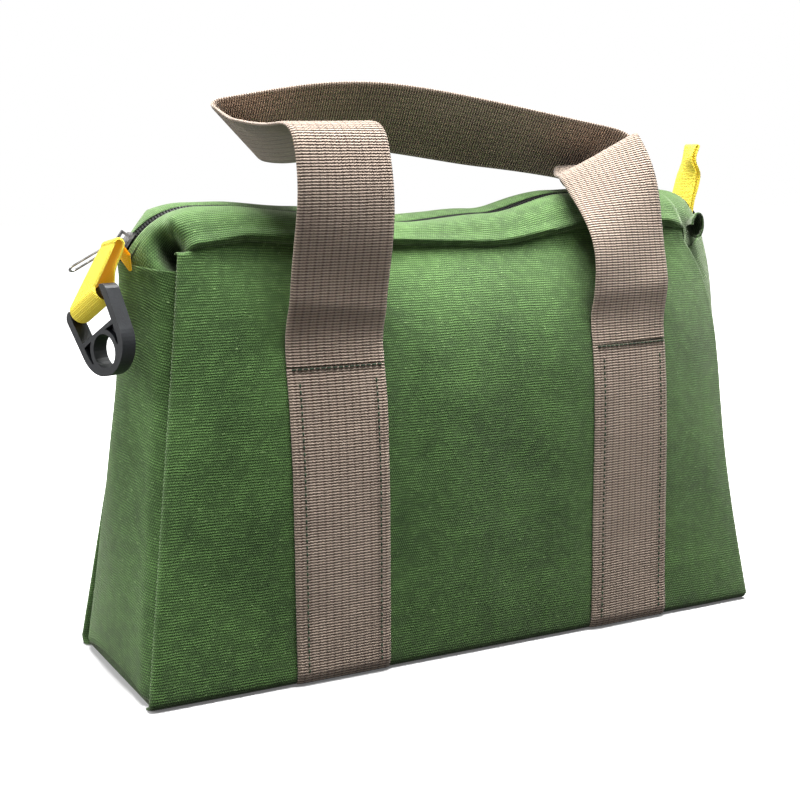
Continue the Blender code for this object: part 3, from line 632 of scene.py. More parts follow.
def trackAt(run):
    # run in metres along the zip, zero at the middle of the bag
    for end, side in zipLine["ends"].items():
        if end * run > abs(side["start"]):
            angle = (end * run - abs(side["start"])) / side["radius"]
            normal = np.array([end * math.sin(angle), 0.0, math.cos(angle)])
            centre = np.array([side["start"], 0.0, trackHeight(side["start"]) - side["radius"]])
            return centre + normal * side["radius"], normal
    return np.array([run, 0.0, trackHeight(run)]), np.array([0.0, 0.0, 1.0])


zipStart, zipEnd = (end * (abs(zipLine["ends"][end]["start"]) + curlRun(end)) for end in (left, right))


def gussetTop(t, end):
    x = body["rimLength"] / 2 + body["tipReach"][end] * crest(t)
    return np.array([end * x, t * body["rimDepth"] / 2, gussetRim(t) + body["tipLift"][end] * crest(t)])


def seamAt(run, face):
    # place on the seam that a zip place is sewn across to
    end = left if run < 0 else right
    join, start = zipLine["ends"][end]["join"], zipLine["ends"][end]["start"]
    beside = face * (halfDepth(1.0) + 0.0002)
    if end * (run - join) <= 0:
        return np.array([run, beside, tableAt(rimSeam[face], run)])
    share = end * (run - join) / (abs(start - join) + curlRun(end))
    rimRun = body["rimLength"] / 2 - abs(join)
    tipRun = math.hypot(body["rimDepth"] / 2, body["tipReach"][end])
    travel = share * (rimRun + tipRun)
    if travel <= rimRun:
        x = join + end * travel
        return np.array([x, beside, tableAt(rimSeam[face], x)])
    part = (travel - rimRun) / tipRun
    t = 1 + (zipLine["hem"] / (body["rimDepth"] / 2) - 1) * part
    tucked = np.array([-end * 0.0012, 0.0, 0.0035 * (1 - part) ** 2 - 0.0010])
    return gussetTop(face * t, end) + tucked


dents = [
    # pinched corner at the left front: from, to, depth, width, pushed toward
    ((-0.1575, -0.0215, 0.2165), (-0.1480, -0.0235, 0.2040), 0.0240, 0.0058, (0.50, 0.80, -0.30)),
    ((-0.1580, 0.0200, 0.2180), (-0.1490, 0.0270, 0.2060), 0.0070, 0.0060, (0.66, -0.60, -0.42)),
    # hollow beside the folded corner at the right
    ((0.1510, -0.0245, 0.2170), (0.1540, -0.0245, 0.2100), 0.0025, 0.0040, (-0.55, 0.72, -0.40)),
    ((0.1510, 0.0245, 0.2170), (0.1540, 0.0245, 0.2100), 0.0025, 0.0040, (-0.55, -0.72, -0.40)),
]


def pushed(point):
    moved = np.array(point, float)
    for start, end, depth, width, way in dents:
        start, end = np.array(start), np.array(end)
        along = end - start
        share = np.clip(np.dot(point - start, along) / np.dot(along, along), 0, 1)
        away = np.linalg.norm(point - start - along * share)
        moved += np.array(way) * depth * math.exp(-((away / width) ** 2))
    return moved


def nearEnds(run, leftSpan, rightSpan):
    # rises from 0 to 1 over the given spans from either end of the zip
    return min(smoothStep(*leftSpan, run - zipStart), smoothStep(*rightSpan, zipEnd - run))


def stripGrid(face, startRun, endRun, step=0.0024, rows=22):
    fades = zipLine["pillowFade"]
    grid = []
    for run in np.linspace(startRun, endRun, max(int((endRun - startRun) / step), 8)):
        track, normal = trackAt(run)
        seam = seamAt(run, face)
        inner = track + np.array([0.0, face * zipLine["hem"], 0.0]) + normal * zipLine["topLevel"]
        span = np.linalg.norm(seam - inner)
        lipNear = nearEnds(run, zipLine["lipFade"][left], zipLine["lipFade"][right])
        ease = nearEnds(run, (0.0, fades[left]), (0.0, fades[right]))
        full = zipLine["endPillow"] + (1 - zipLine["endPillow"]) * ease
        pillow = zipLine["pillow"][face] * span * full
        rise = unit(normal + np.array([0.0, face * zipLine["pillowLean"], 0.0]))
        toSeam = unit(seam - inner)
        column = [inner + toSeam * min(back, 0.2 * span) - normal * down for back, down in zipLine["hemRows"]]
        for share in np.linspace(0, 1, rows):
            swell = pillow * math.sin(math.pi * share) ** zipLine["pillowPower"]
            point = inner + (seam - inner) * share + rise * swell
            soft = zipLine["wave"] * ripple(point[0], point[1] * 1.6, point[2], 0.024, 12 + face)
            across = (share - zipLine["lipPlace"]) / zipLine["lipWidth"]
            lip = zipLine["lip"] * math.exp(-(across ** 2)) * lipNear
            point = point + normal * soft * math.sin(math.pi * share)
            point = point + np.array([0.0, face * lip, -zipLine["lipDrop"] * lip])
            column.append(pushed(point))
        inward = unit(np.array([-0.35 * np.sign(run) if abs(run) > 0.14 else 0.0, -face, -0.35]))
        last = column[-1]
        column += [last + np.array([0.0, 0.0, -down]) + inward * back for down, back in zipLine["seamRows"]]
        grid.append(column)
    return np.array(grid)


def blendOver(piece):
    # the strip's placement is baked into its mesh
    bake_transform(piece)


# the zip's four halves: name, face, flap, then the hand and the run from end to end of each
zipHands = (("Left", left, (zipStart, zipLine["split"])), ("Right", right, (zipLine["split"], zipEnd)))
zipFaces = (("front", front, "front_flap"), ("rear", rear, "rear_flap"))
zipHalves = [(*face, *hand) for face in zipFaces for hand in zipHands]
for name, face, flap, hand, side, span in zipHalves:
    grid = stripGrid(face, *span)
    strip = buildSheet(f"{name}Strip{hand}", [canvas], grid, gridUv(grid, span[0]), flip=face == front)
    middle = [f"{name}_top_strip"] if side == left else []
    assign(strip, "green_canvas", f"{name}_top_{hand.lower()}_end", *middle)
    blendOver(strip)

cornerFold = {
    # the canvas turns over itself here, seen along its axis: place and height, then how far it reaches back
    "loop": [
        (0.1512, 0.2130), (0.1523, 0.2165), (0.1550, 0.2190),
        (0.1578, 0.2172), (0.1588, 0.2120), (0.1576, 0.2075), (0.1548, 0.2060),
    ],
    "loopSteps": 48,
    "layerSteps": 9,
    "mouth": 0.0285,
    "reach": 0.013,
    "hub": (0.1530, 0.2100),
    "axis": (0.42, 0.90, -0.10),
    "thickness": 0.0011,
    "shrink": 0.45,
}
for name, face in (("front", front), ("rear", rear)):
    axis = unit(cornerFold["axis"]) * np.array([1.0, -face, 1.0])
    loop = smoothPath(cornerFold["loop"], cornerFold["loopSteps"])
    centres = np.array([(x, face * cornerFold["mouth"], z) for x, z in loop]) + axis * cornerFold["reach"] / 2
    facings = [unit(np.cross(tangent, axis)) for tangent in np.gradient(centres, axis=0)]
    hubX, hubZ = cornerFold["hub"]
    columns = []
    for level in (0.5, -0.5):
        for share in np.linspace(-1, 1, cornerFold["layerSteps"]) * math.copysign(1, level):
            # narrower towards the back, where it runs into the strip
            shrink = 1 - cornerFold["shrink"] * max(share + 0.2, 0.0) / 1.2
            column = []
            for centre, facing in zip(centres, facings):
                hub = np.array([hubX, centre[1], hubZ])
                spot = hub + (centre - hub) * shrink + axis * share * cornerFold["reach"] / 2
                column.append(spot + facing * level * cornerFold["thickness"])
            columns.append(column)
    fold = buildSheet(f"{name}CornerFold", [canvas], np.array(columns), closed=True, flip=face == rear)
    assign(fold, "green_canvas", ride="bag")
print("top strips ready")


# Zip tape and teeth

zipParts = {
    "pitch": 0.0015,
    "toothLength": 0.00085,
    "toothTop": 0.0024,
    "toothBottom": 0.0006,
    # sections of a tooth from its tip into the tape: place across, width and height as shares
    "sections": ((-0.0007, 1.0, 0.80), (0.0006, 0.80, 0.95), (0.0018, 1.0, 1.0), (0.0032, 1.1, 0.75)),
    "tapeRows": (0.0003, 0.0025, 0.0050, 0.0085),
    "tapeLevel": 0.0004,
    "tapeStep": 0.003,
    "stopRoom": 0.0026,
}


def tapeGrid(face, startRun, endRun):
    grid = []
    for run in np.linspace(startRun, endRun, max(int((endRun - startRun) / zipParts["tapeStep"]), 6)):
        track, normal = trackAt(run)
        rise = normal * zipParts["tapeLevel"]
        grid.append([track + np.array([0.0, face * y, 0.0]) + rise for y in zipParts["tapeRows"]])
    return np.array(grid)


def addTeeth(sheets, face, startRun, endRun):
    pitch, half = zipParts["pitch"], zipParts["toothLength"] / 2
    number = int(math.ceil(startRun / pitch))
    while number * pitch < endRun:
        track, normal = trackAt(number * pitch + (pitch / 2 if face == rear else 0.0))
        along = np.cross(np.array([0.0, 1.0, 0.0]), normal)
        points = []
        for y, wide, top in zipParts["sections"]:
            for side, level in ((-1, 0), (1, 0), (1, 1), (-1, 1)):
                up = zipParts["toothTop"] * top if level else zipParts["toothBottom"]
                root = track + np.array([0.0, face * y, 0.0])
                points.append(root + along * side * half * wide + normal * up)
        sheets.addPrism(points, 4, flip=face == front)
        number += 1


for name, face, flap, hand, side, span in zipHalves:
    tape = buildSheet(f"{name}Tape{hand}", [grained["zipTape"]], tapeGrid(face, *span), flip=face == front)
    sheets = Sheets()
    first = span[0] + zipParts["stopRoom"] if side == left else span[0]
    last = span[1] - zipParts["stopRoom"] if side == right else span[1]
    addTeeth(sheets, face, first, last)
    teeth = sheets.build(f"{name}Teeth{hand}", [grained["zipTeeth"]], smooth=False)
    for piece, word in ((tape, "tape"), (teeth, "teeth")):
        middle = [f"{name}_zip_{word}"] if side == left else []
        assign(piece, f"black_{word}", f"{name}_{word}_{hand.lower()}_end", *middle)
        blendOver(piece)
print("zip ready")


# Rows of sewing thread

def threadRow(sheets, points, normals, radius=0.00042, cover=0.62):
    # one stitch for each stretch between two points, arched over the cloth
    sections = ((-0.5, 0.55, -0.6), (-0.35, 1.0, 0.35), (0.0, 1.0, 0.7), (0.35, 1.0, 0.35), (0.5, 0.55, -0.6))
    for start, end, normal in zip(points[:-1], points[1:], normals):
        normal, along = unit(normal), unit(end - start)
        side = np.cross(along, normal)
        length = np.linalg.norm(end - start) * cover
        rings = []
        for share, size, rise in sections:
            centre = (start + end) / 2 + along * length * share + normal * radius * rise
            for step in range(6):
                turn = math.pi * step / 3
                rings.append(centre + (side * math.cos(turn) + normal * math.sin(turn)) * radius * size)
        sheets.addPrism(rings, 6)


# Sewn straps

straps = {
    "width": 0.050,
    "thickness": 0.0018,
    "spacing": 0.172,
    "offset": 0.006,
    "edgeShare": 0.03,
    "edgeDip": 0.45,
    "foot": 0.0012,
    "footTuck": 0.0022,
    "seam": 0.154,
    "gap": 0.0003,
    "stitchInset": 0.0055,
    "stitchPitch": 0.0032,
    "tackDrop": 0.0014,
    "tackThread": 0.00044,
    "tackShare": 0.93,
    "tackStitches": 16,
}


def strapCentre(side):
    return straps["offset"] + side * straps["spacing"] / 2


def strapPoint(centre, share, z, face, lift, near=0.001):
    # a place on the strap, lifted off the panel, and the direction out of it
    x = centre + share * straps["width"] / 2
    slopeX = (panelDepth(x + near, z, face) - panelDepth(x - near, z, face)) / (2 * near)
    slopeZ = (panelDepth(x, z + near, face) - panelDepth(x, z - near, face)) / (2 * near)
    normal = unit((-slopeX, 1.0, -slopeZ)) * np.array([1.0, face, 1.0])
    return np.array([x, face * panelDepth(x, z, face), z]) + normal * lift, normal


def strapShell(face, side, columns=25, rows=70):
    centre, thick, gap = strapCentre(side), straps["thickness"], straps["gap"]
    outline = []
    # round the cross-section: outer face from edge to edge, then back underneath
    for share in np.linspace(-1, 1, columns):
        dip = thick * straps["edgeDip"] * max(0.0, 1 - (1 - abs(share)) / straps["edgeShare"]) ** 2
        outline.append((share, gap + thick - dip))
    outline += [(share, gap) for share in np.linspace(1, -1, 9)]
    heights = [straps["foot"]] + list(np.linspace(0.003, straps["seam"] - 0.0005, rows))
    grid = []
    for share, lift in outline:
        column = []
        for z in heights:
            point, _ = strapPoint(centre, share, max(z, 0.004), face, lift)
            point[1] -= face * straps["footTuck"] * (1 - smoothStep(0.0, 0.006, z))
            point[2] = max(point[2] if z > 0.004 else z, 0.0006)
            column.append(point)
        grid.append(column)
    uvs = [[(share * straps["width"] / 2, z) for z in heights] for share, _ in outline]
    return np.array(grid), np.array(uvs)


def strapStitches(name, face, side):
    # a row up each edge, then the row across the seam
    centre, seam = strapCentre(side), straps["seam"]
    lift = straps["gap"] + straps["thickness"] + 0.0001
    sheets = Sheets()
    for edge in (-1, 1):
        share = edge * (1 - straps["stitchInset"] / (straps["width"] / 2))
        heights = np.arange(0.006, seam - 0.004, straps["stitchPitch"])
        threadRow(sheets, *zip(*[strapPoint(centre, share, z, face, lift) for z in heights]))
    shares = np.linspace(-straps["tackShare"], straps["tackShare"], straps["tackStitches"] + 1)
    rows = [strapPoint(centre, share, seam - straps["tackDrop"], face, lift + 0.0002) for share in shares]
    threadRow(sheets, *zip(*rows), radius=straps["tackThread"], cover=0.8)
    return sheets.build(name, [grained["greenThread"]])


for name, face in (("front", front), ("rear", rear)):
    for hand, side in (("Left", left), ("Right", right)):
        strap = buildSheet(
            f"{name}Strap{hand}", [webbing], *strapShell(face, side), closed=True, flip=face == rear
        )
        assign(strap, "brown_webbing", f"{name}_strap_{hand.lower()}", ride="bag")
        stitches = strapStitches(f"{name}StrapStitches{hand}", face, side)
        assign(stitches, "green_thread", f"{name}_bar_tack_{hand.lower()}", ride="bag")
print("straps ready")


# Handles: one webbing band each, free above the seams

def handleRoot(face):
    places = [strapCentre(side) + edge * straps["width"] / 2 for side in (left, right) for edge in (-1, 1)]
    deepest = max(plainDepth(x, straps["seam"]) for x in places)
    return face * (deepest + straps["gap"] + straps["thickness"] / 2)


frontHandle = {
    "length": 0.5763,
    # each fold: place along the webbing, angle, spread to either side, and slant across the webbing
    "folds": [
        (0.114, 81.9, 0.016, -0.06),
        (0.230, -98.3, 0.010, -0.71),
        (0.437, -107.5, 0.013, 0.45),
        (0.466, 94.0, 0.010, -0.29),
    ],
    # slant half way between the folds, then the slack bend and the slack twist of each half stretch
    "slants": [0.27, 0.25, -0.74, 0.19, -0.24],
    "slack": [-20, 39, -8, -11, -23, -4, -28, -34, 43, 12],
    "twist": [0, 3, 26, 15, -27, 10, -49, 54, -27, 14],
    "soften": 0.016,
    "rings": 300,
    "columns": 25,
    "conform": 0.030,
    # where the webbing stops lying still, and where all of it swings
    "blend": ((0, 0, 0.1545), (0, 0, 0.170)),
}
rearHandle = {
    "drop": 0.116,
    "standoff": 0.074,
    # one half, from the seam to the middle: place, stand-off and drop as shares, then the width direction
    "rows": [
        (0.500, 0.000, -0.006, 1.00, 0.00, 0.00),
        (0.500, 0.046, 0.010, 1.00, 0.00, 0.00),
        (0.500, 0.060, 0.045, 1.00, 0.00, 0.00),
        (0.500, 0.064, 0.130, 1.00, 0.00, 0.00),
        (0.500, 0.067, 0.300, 1.00, 0.00, 0.00),
        (0.500, 0.097, 0.480, 1.00, 0.00, 0.00),
        (0.502, 0.163, 0.670, 1.00, 0.00, -0.05),
        (0.498, 0.282, 0.800, 0.96, -0.04, -0.27),
        (0.470, 0.445, 0.900, 0.80, -0.10, -0.60),
        (0.410, 0.609, 0.965, 0.56, -0.13, -0.83),
        (0.320, 0.730, 0.995, 0.26, -0.10, -0.96),
        (0.160, 0.796, 0.990, 0.09, -0.04, -1.00),
        (0.000, 0.814, 0.985, 0.00, 0.00, -1.00),
    ],
    "rings": 240,
    "blend": ((0, 0.0550, 0), (0, 0.0680, 0)),
}


def foldedStrip(plan, start, finish):
    # a flat strip that keeps its length and width while it folds along slanted lines
    length, folds, count = (plan[key] for key in ("length", "folds", "rings"))
    travel = np.linspace(0, length, count)
    step = travel[1]
    knots = [0.0] + [fold[0] for fold in folds] + [length]
    bends = [(place, math.radians(angle), spread, 0.0) for place, angle, spread, _ in folds]
    places, values = [0.0], [0.0]
    for index, (low, high) in enumerate(zip(knots[:-1], knots[1:])):
        for half, share in enumerate((0.3, 0.7)):
            angle, twist = (math.radians(plan[key][2 * index + half]) for key in ("slack", "twist"))
            bends.append((low + (high - low) * share, angle, max((high - low) * 0.4, 0.005), twist))
        places += [(low + high) / 2, high]
        values += [plan["slants"][index], folds[index][3] if index < len(folds) else 0.0]
    rate, roll = np.zeros(count), np.zeros(count)
    for place, angle, spread, twist in bends:
        bump = 0.5 * (1 + np.cos(math.pi * np.clip(np.abs(travel - place) / spread, 0, 1))) / spread
        rate += angle * bump
        roll += twist * bump
    window = np.hanning(int(plan["soften"] / step) | 1)
    slant = np.pad(np.interp(travel, places, values), len(window) // 2, mode="edge")
    slant = np.convolve(slant, window / window.sum(), "valid")
    tangent, across, place = Vector((0, 0, 1)), Vector((-1, 0, 0)), Vector(start)
    rows = [(*place, *tangent, *across)]
    for index in range(count - 1):
        turn, lean, spin = ((row[index] + row[index + 1]) / 2 for row in (rate, slant, roll))
        axis = (across * turn + tangent * (turn * lean + spin)) * step
        half, whole = (Matrix.Rotation(axis.length / share, 3, axis.normalized()) for share in (2, 1))
        place = place + (half @ tangent) * step
        tangent, across = whole @ tangent, whole @ across
        rows.append((*place, *tangent, *across))
    rows = np.array(rows)
    centres = rows[:, :3] + np.outer(travel / length, np.array(finish) - rows[-1, :3])
    return centres, rows[:, 3:6], rows[:, 6:], slant, travel


def bandOutline(columns, edgeShare=0.04, edgeDip=0.6):
    # round a flat cross-section with softened edges: the outer face, then the inner one
    outline = []
    for level in (0.5, -0.5):
        for share in np.linspace(-1, 1, columns):
            soft = max(0.0, 1 - (1 - abs(share)) / edgeShare) ** 2
            outline.append((share if level > 0 else -share, level * (1 - edgeDip * soft)))
    return outline


def bandShell(
    centres, widths, size, thickness, columns=21,
    narrow=None, closed=False, slants=None, tangents=None, skewed=False,
):
    # flat webbing swept along a path, square to it unless it is pulled askew
    centres = np.asarray(centres, float)
    if closed:
        tangents = np.roll(centres, -1, axis=0) - np.roll(centres, 1, axis=0)
    elif tangents is None:
        tangents = np.gradient(centres, axis=0)
    travel = np.concatenate([[0.0], np.cumsum(np.linalg.norm(np.diff(centres, axis=0), axis=1))])
    grid, uvs = [], []
    for share, level in bandOutline(columns):
        column, uvColumn = [], []
        for index, centre in enumerate(centres):
            tangent = unit(tangents[index])
            square = widths[index] - tangent * np.dot(widths[index], tangent)
            width = unit(widths[index] if skewed else square)
            facing = unit(np.cross(tangent, width))
            lean = slants[index] if slants is not None else 0.0
            reach = share * size / 2 * (narrow[index] if narrow is not None else 1.0)
            column.append(centre + (width + tangent * lean) * reach + facing * level * thickness)
            uvColumn.append((share * size / 2, travel[index] + lean * reach))
        grid.append(column)
        uvs.append(uvColumn)
    grid, uvs = np.array(grid), np.array(uvs)
    if closed:
        grid = np.concatenate([grid, grid[:, :1]], axis=1)
        extra = uvs[:, :1].copy()
        extra[:, :, 1] = travel[-1] + np.linalg.norm(centres[0] - centres[-1])
        uvs = np.concatenate([uvs, extra], axis=1)
    return grid, uvs


def addBand(sheets, grid, uvs):
    # outer half first, then the inner half in the second material
    half = len(grid) // 2
    loop = np.concatenate([grid, grid[:1]], axis=0)
    loopUvs = np.concatenate([uvs, uvs[:1]], axis=0)
    sheets.add(loop[: half + 1], loopUvs[: half + 1], slot=0)
    sheets.add(loop[half:], loopUvs[half:], slot=1)


rootY = handleRoot(front)
ends = [(strapCentre(side), rootY, straps["seam"] + straps["gap"]) for side in (left, right)]
centres, tangents, widths, slants, travel = foldedStrip(frontHandle, *ends)
band = (centres, widths, straps["width"], straps["thickness"], frontHandle["columns"])
grid, uvs = bandShell(*band, slants=slants, tangents=tangents)
for row, run in enumerate(travel):
    # the first stretch above each seam still lies on the panel
    held = 1 - smoothStep(0.0, frontHandle["conform"], min(run, frontHandle["length"] - run))
    if held > 0:
        for column, (_, level) in enumerate(bandOutline(frontHandle["columns"])):
            x, y, z = grid[column, row]
            lift = straps["gap"] + straps["thickness"] * (0.5 + level)
            grid[column, row, 1] = y + (front * (panelDepth(x, z, front) + lift) - y) * held
handle = buildSheet("frontHandle", [webbing], grid, uvs, closed=True)
assign(handle, "brown_webbing", "front_handle")
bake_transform(handle)

rootY = handleRoot(rear) + straps["thickness"] / 2 + straps["gap"]
seamDepth = plainDepth(strapCentre(right), straps["seam"])
half = []
for place, out, drop, *width in rearHandle["rows"]:
    x = place * straps["spacing"]
    z = straps["seam"] + straps["gap"] - drop * rearHandle["drop"]
    depth = plainDepth(straps["offset"] + x, min(z, straps["seam"]))
    half.append((x, rootY + depth - seamDepth + out * rearHandle["standoff"], z, *width))
mirrored = [(-row[0], row[1], row[2], -row[3], row[4], row[5]) for row in half[:-1]]
rows = [(row[0] + straps["offset"], *row[1:]) for row in half + mirrored[::-1]]
path = smoothPath(rows, rearHandle["rings"])
band = bandShell(path[:, :3], path[:, 3:], straps["width"], straps["thickness"])
handle = buildSheet("rearHandle", [webbing], *band, closed=True)
assign(handle, "brown_webbing", "rear_handle")
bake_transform(handle)
print("handles ready")


# Yellow tabs

leftTab = {
    "hinge": (-0.1752, -0.0135, 0.2110),
    "barCentre": (-0.1853, -0.0113, 0.1852),
    "bar": (0.29994, -0.79984, 0.51990),
    "down": (0.18255, -0.48679, -0.85423),
    "face": (-0.93633, -0.35112, 0.0),
    "width": 0.022,
    "thickness": 0.0016,
    "fold": 0.0022,
    "wrapReach": 0.00481,
    "wrapTurns": (-34.0, 160.0),
    "layerRows": (0.08, 0.92, 9),
    "turnPower": 0.7,
    "lean": 0.45,
    "closed": 0.25,
    "topShare": 0.68,
    "rings": 180,
    "root": (-0.1672, -0.0060, 0.2022),
    "rootWidth": 0.0110,
    "rootRoom": 0.0012,
    "rootDrop": 0.0010,
    "rootRings": 12,
}


def onArc(centre, first, second, radius, degrees):
    angle = math.radians(degrees)
    return centre + (first * math.cos(angle) + second * math.sin(angle)) * radius


def leftTabPath():
    hinge, centre, bar, down, facing = (
        np.array(leftTab[key]) for key in ("hinge", "barCentre", "bar", "down", "face")
    )
    east, up = np.array([1.0, 0, 0]), np.array([0, 0, 1.0])
    side = unit(np.array([0.0, -1.0, 0.0]) + bar * leftTab["lean"])
    folded = [
        np.array([*onArc(hinge, east, up, leftTab["fold"], turn), *side, leftTab["topShare"]])
        for turn in range(0, 181, 20)
    ]
    wrap = [
        np.array([*onArc(centre, facing, down, leftTab["wrapReach"], turn), *bar, 1.0])
        for turn in np.linspace(*leftTab["wrapTurns"], 17)
    ]
    # the two layers between the fold and the ring lie close together
    shares = np.linspace(*leftTab["layerRows"])
    outer, inner = [], []
    for share in shares:
        row = folded[-1] * (1 - share) + wrap[0] * share
        early = share ** leftTab["turnPower"]
        row[3:] = folded[-1][3:] * (1 - early) + wrap[0][3:] * early
        outer.append(row)
    for share, facingRow in zip(shares, outer[::-1]):
        row = wrap[-1] * (1 - share) + folded[0] * share
        row[3:] = facingRow[3:]
        row[:3] += (facingRow[:3] - row[:3]) * leftTab["closed"] * math.sin(math.pi * share) ** 2
        inner.append(row)
    knots = np.array(folded + outer + wrap + inner + folded[:1])
    return smoothPath(knots, leftTab["rings"])[:-1]


path = leftTabPath()
band = (path[:, :3], path[:, 3:6], leftTab["width"], leftTab["thickness"])
sheets = Sheets()
addBand(sheets, *bandShell(*band, narrow=path[:, 6], closed=True, skewed=True))
# the inner half takes the darker orange copy, painted shade
tab = sheets.build("leftTab", [tabWeave, tabShadedWeave])
assign(tab, "yellow_webbing", "left_tab", ride="tab")

rightTab = {
    "hinge": (0.16870, 0.0, 0.22428),
    "width": 0.018,
    "thickness": 0.0016,
    "room": 0.0021,
    # rise above the hinge, sideways sway, room between the two layers, and how far the webbing turns
    "rows": [
        (-0.0060, -0.0027, 1.0, 0.00),
        (0.0015, -0.0014, 1.0, 0.00),
        (0.0090, 0.0008, 1.2, 0.00),
        (0.0165, 0.0024, 1.4, 0.10),
        (0.0240, 0.0022, 1.0, 0.44),
        (0.0310, 0.0040, 0.8, 0.36),
    ],
    "rings": 46,
    "crownSteps": 12,
    "blend": ((0, 0, 0.2240), (0, 0, 0.2320)),
}
count, crownSteps = rightTab["rings"], rightTab["crownSteps"]
table = smoothPath(rightTab["rows"], count)
middles = np.array(rightTab["hinge"]) + np.stack([table[:, 1], np.zeros(count), table[:, 0]], axis=1)
near, far, crown, turns = [], [], [], []
for middle, run, room, turn in zip(middles, np.gradient(middles, axis=0), table[:, 2], table[:, 3]):
    up = unit(run)
    half = unit(np.cross(up, (-turn, -1.0, 0.0))) * room * rightTab["room"] / 2
    near.append(middle - half)
    far.append(middle + half)
    turns.append((-turn, -1.0, 0.0))
for step in range(1, crownSteps):
    angle = math.pi * step / crownSteps
    crown.append(middles[-1] - half * math.cos(angle) + up * np.linalg.norm(half) * math.sin(angle))
path = np.array(near + crown + far[::-1])
turns = np.array(turns + [turns[-1]] * len(crown) + turns[::-1])
sheets = Sheets()
addBand(sheets, *bandShell(path, turns, rightTab["width"], rightTab["thickness"]))
tab = sheets.build("rightTab", [tabWeave, tabWeave])
assign(tab, "yellow_webbing", "right_tab")
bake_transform(tab)

# short end of the left tab, sewn behind the gusset's top
count = leftTab["rootRings"]
beside = leftTab["fold"] + leftTab["thickness"] + leftTab["rootRoom"]
start = np.array(leftTab["root"])
finish = np.array(leftTab["hinge"]) + np.array([beside, 0, -leftTab["rootDrop"]])
path = np.array([start + (finish - start) * share for share in np.linspace(0, 1, count)])
band = bandShell(path, np.tile((0.0, -1.0, 0.0), (count, 1)), leftTab["rootWidth"], leftTab["thickness"])
# painted shade: the short end is all in the darker orange copy
tab = buildSheet("leftTabRoot", [tabShadedWeave], *band, closed=True)
assign(tab, "yellow_webbing", "left_tab_root", ride="bag")
print("tabs ready")


# Rigid small parts keep their solids, with softened edges and a finish

sharpEdge = 35
# each part: material, width of the softened edge and its steps
smallFinish = (grained["sliderMetal"], 0.0003, 2)
rigid = {"clip_ring": (grained["ringPlastic"], 0.0006, 3), "zip_slider": smallFinish}
for end in ("left", "right"):
    for face in ("front", "rear"):
        rigid[f"{face}_zip_{end}_stop"] = smallFinish
for nodeName, (material, width, segments) in rigid.items():
    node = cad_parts[nodeName]
    node.data.materials.clear()
    node.data.materials.append(material)
    soften = node.modifiers.new("soften", "BEVEL")
    soften.width = width
    soften.segments = segments
    soften.limit_method = "ANGLE"
    soften.angle_limit = math.radians(sharpEdge)
    soften.harden_normals = True

# the pull: one loop of wire, turned a little about its length toward its tip
pull = {
    "hinge": (-0.16647, 0.0, 0.21284),
    "length": 0.029,
    "width": 0.0068,
    "wire": 0.0011,
    "angle": 211.0,
    "skew": 13.0,
    "twist": 34.0,
    "twistFrom": 0.002,
    "twistTo": 0.014,
    "bends": 20,
    "legSteps": 16,
    "sides": 12,
}


def pullWire():
    angle, skew = math.radians(pull["angle"]), math.radians(pull["skew"])
    flat = np.array([math.cos(angle), 0.0, math.sin(angle)])
    along = flat * math.cos(skew) + np.array([0.0, math.sin(skew), 0.0])
    side = np.array([0.0, math.cos(skew), 0.0]) - flat * math.sin(skew)
    plane = np.cross(along, side)
    corner = (pull["width"] - pull["wire"]) / 2
    tip = pull["length"] - corner - pull["wire"] / 2
    leg = tip - corner
    outline = []
    for centre, start, sign in ((tip, 0, 1), (corner, 180, -1)):
        for step in range(pull["bends"] + 1):
            turn = math.radians(start - 90 + 180 * step / pull["bends"])
            outline.append((centre + corner * math.cos(turn), corner * math.sin(turn)))
        for share in np.linspace(0, 1, pull["legSteps"])[1:-1]:
            outline.append((corner + leg * ((1 - share) if sign > 0 else share), sign * corner))
    centres = []
    for length, width in outline:
        turn = math.radians(pull["twist"]) * smoothStep(pull["twistFrom"], pull["twistTo"], length)
        across = side * math.cos(turn) + plane * math.sin(turn)
        centres.append(np.array(pull["hinge"]) + along * (length - pull["wire"] / 4) + across * width)
    centres = np.array(centres)
    turns = [2 * math.pi * step / pull["sides"] for step in range(pull["sides"])]
    rings = []
    for centre, tangent in zip(centres, np.roll(centres, -1, axis=0) - np.roll(centres, 1, axis=0)):
        outward = unit(np.cross(unit(tangent), plane))
        up = np.cross(outward, unit(tangent))
        around = [outward * math.cos(turn) + up * math.sin(turn) for turn in turns]
        rings.append([centre + way * pull["wire"] / 2 for way in around])
    return np.array(rings)


rings = pullWire()
rings = np.concatenate([rings, rings[:, :1]], axis=1)
wire = buildSheet("zipPull", [grained["pullWire"]], rings, closed=True)
assign(wire, "zip_metal", "zip_pull", ride="pull")
print("ring, slider and pull ready")


# Floor, light and camera

stageLook = {
    "floorSpan": (-4, 4, 9),
    "floorLevel": -0.0002,
    "floorSeen": 0.86,
    "floorBounce": 0.11,
    "glow": 0.12,
    "fadeFrom": 0.34,
    "fadeTo": 0.75,
    "world": 0.07,
    "aim": (0, 0, 0.12),
    # each light: place, size and power
    "lights": {
        "topLight": ((0.10, -0.02, 1.25), (1.1, 0.9), 58.0),
        "leftLight": ((-1.30, 0.30, 0.60), (0.8, 0.8), 14.0),
        "frontLight": ((-0.45, -1.60, 0.75), (1.2, 1.0), 0.7),
        "rightLight": ((1.30, -0.30, 0.60), (0.8, 0.8), 0.2),
    },
}


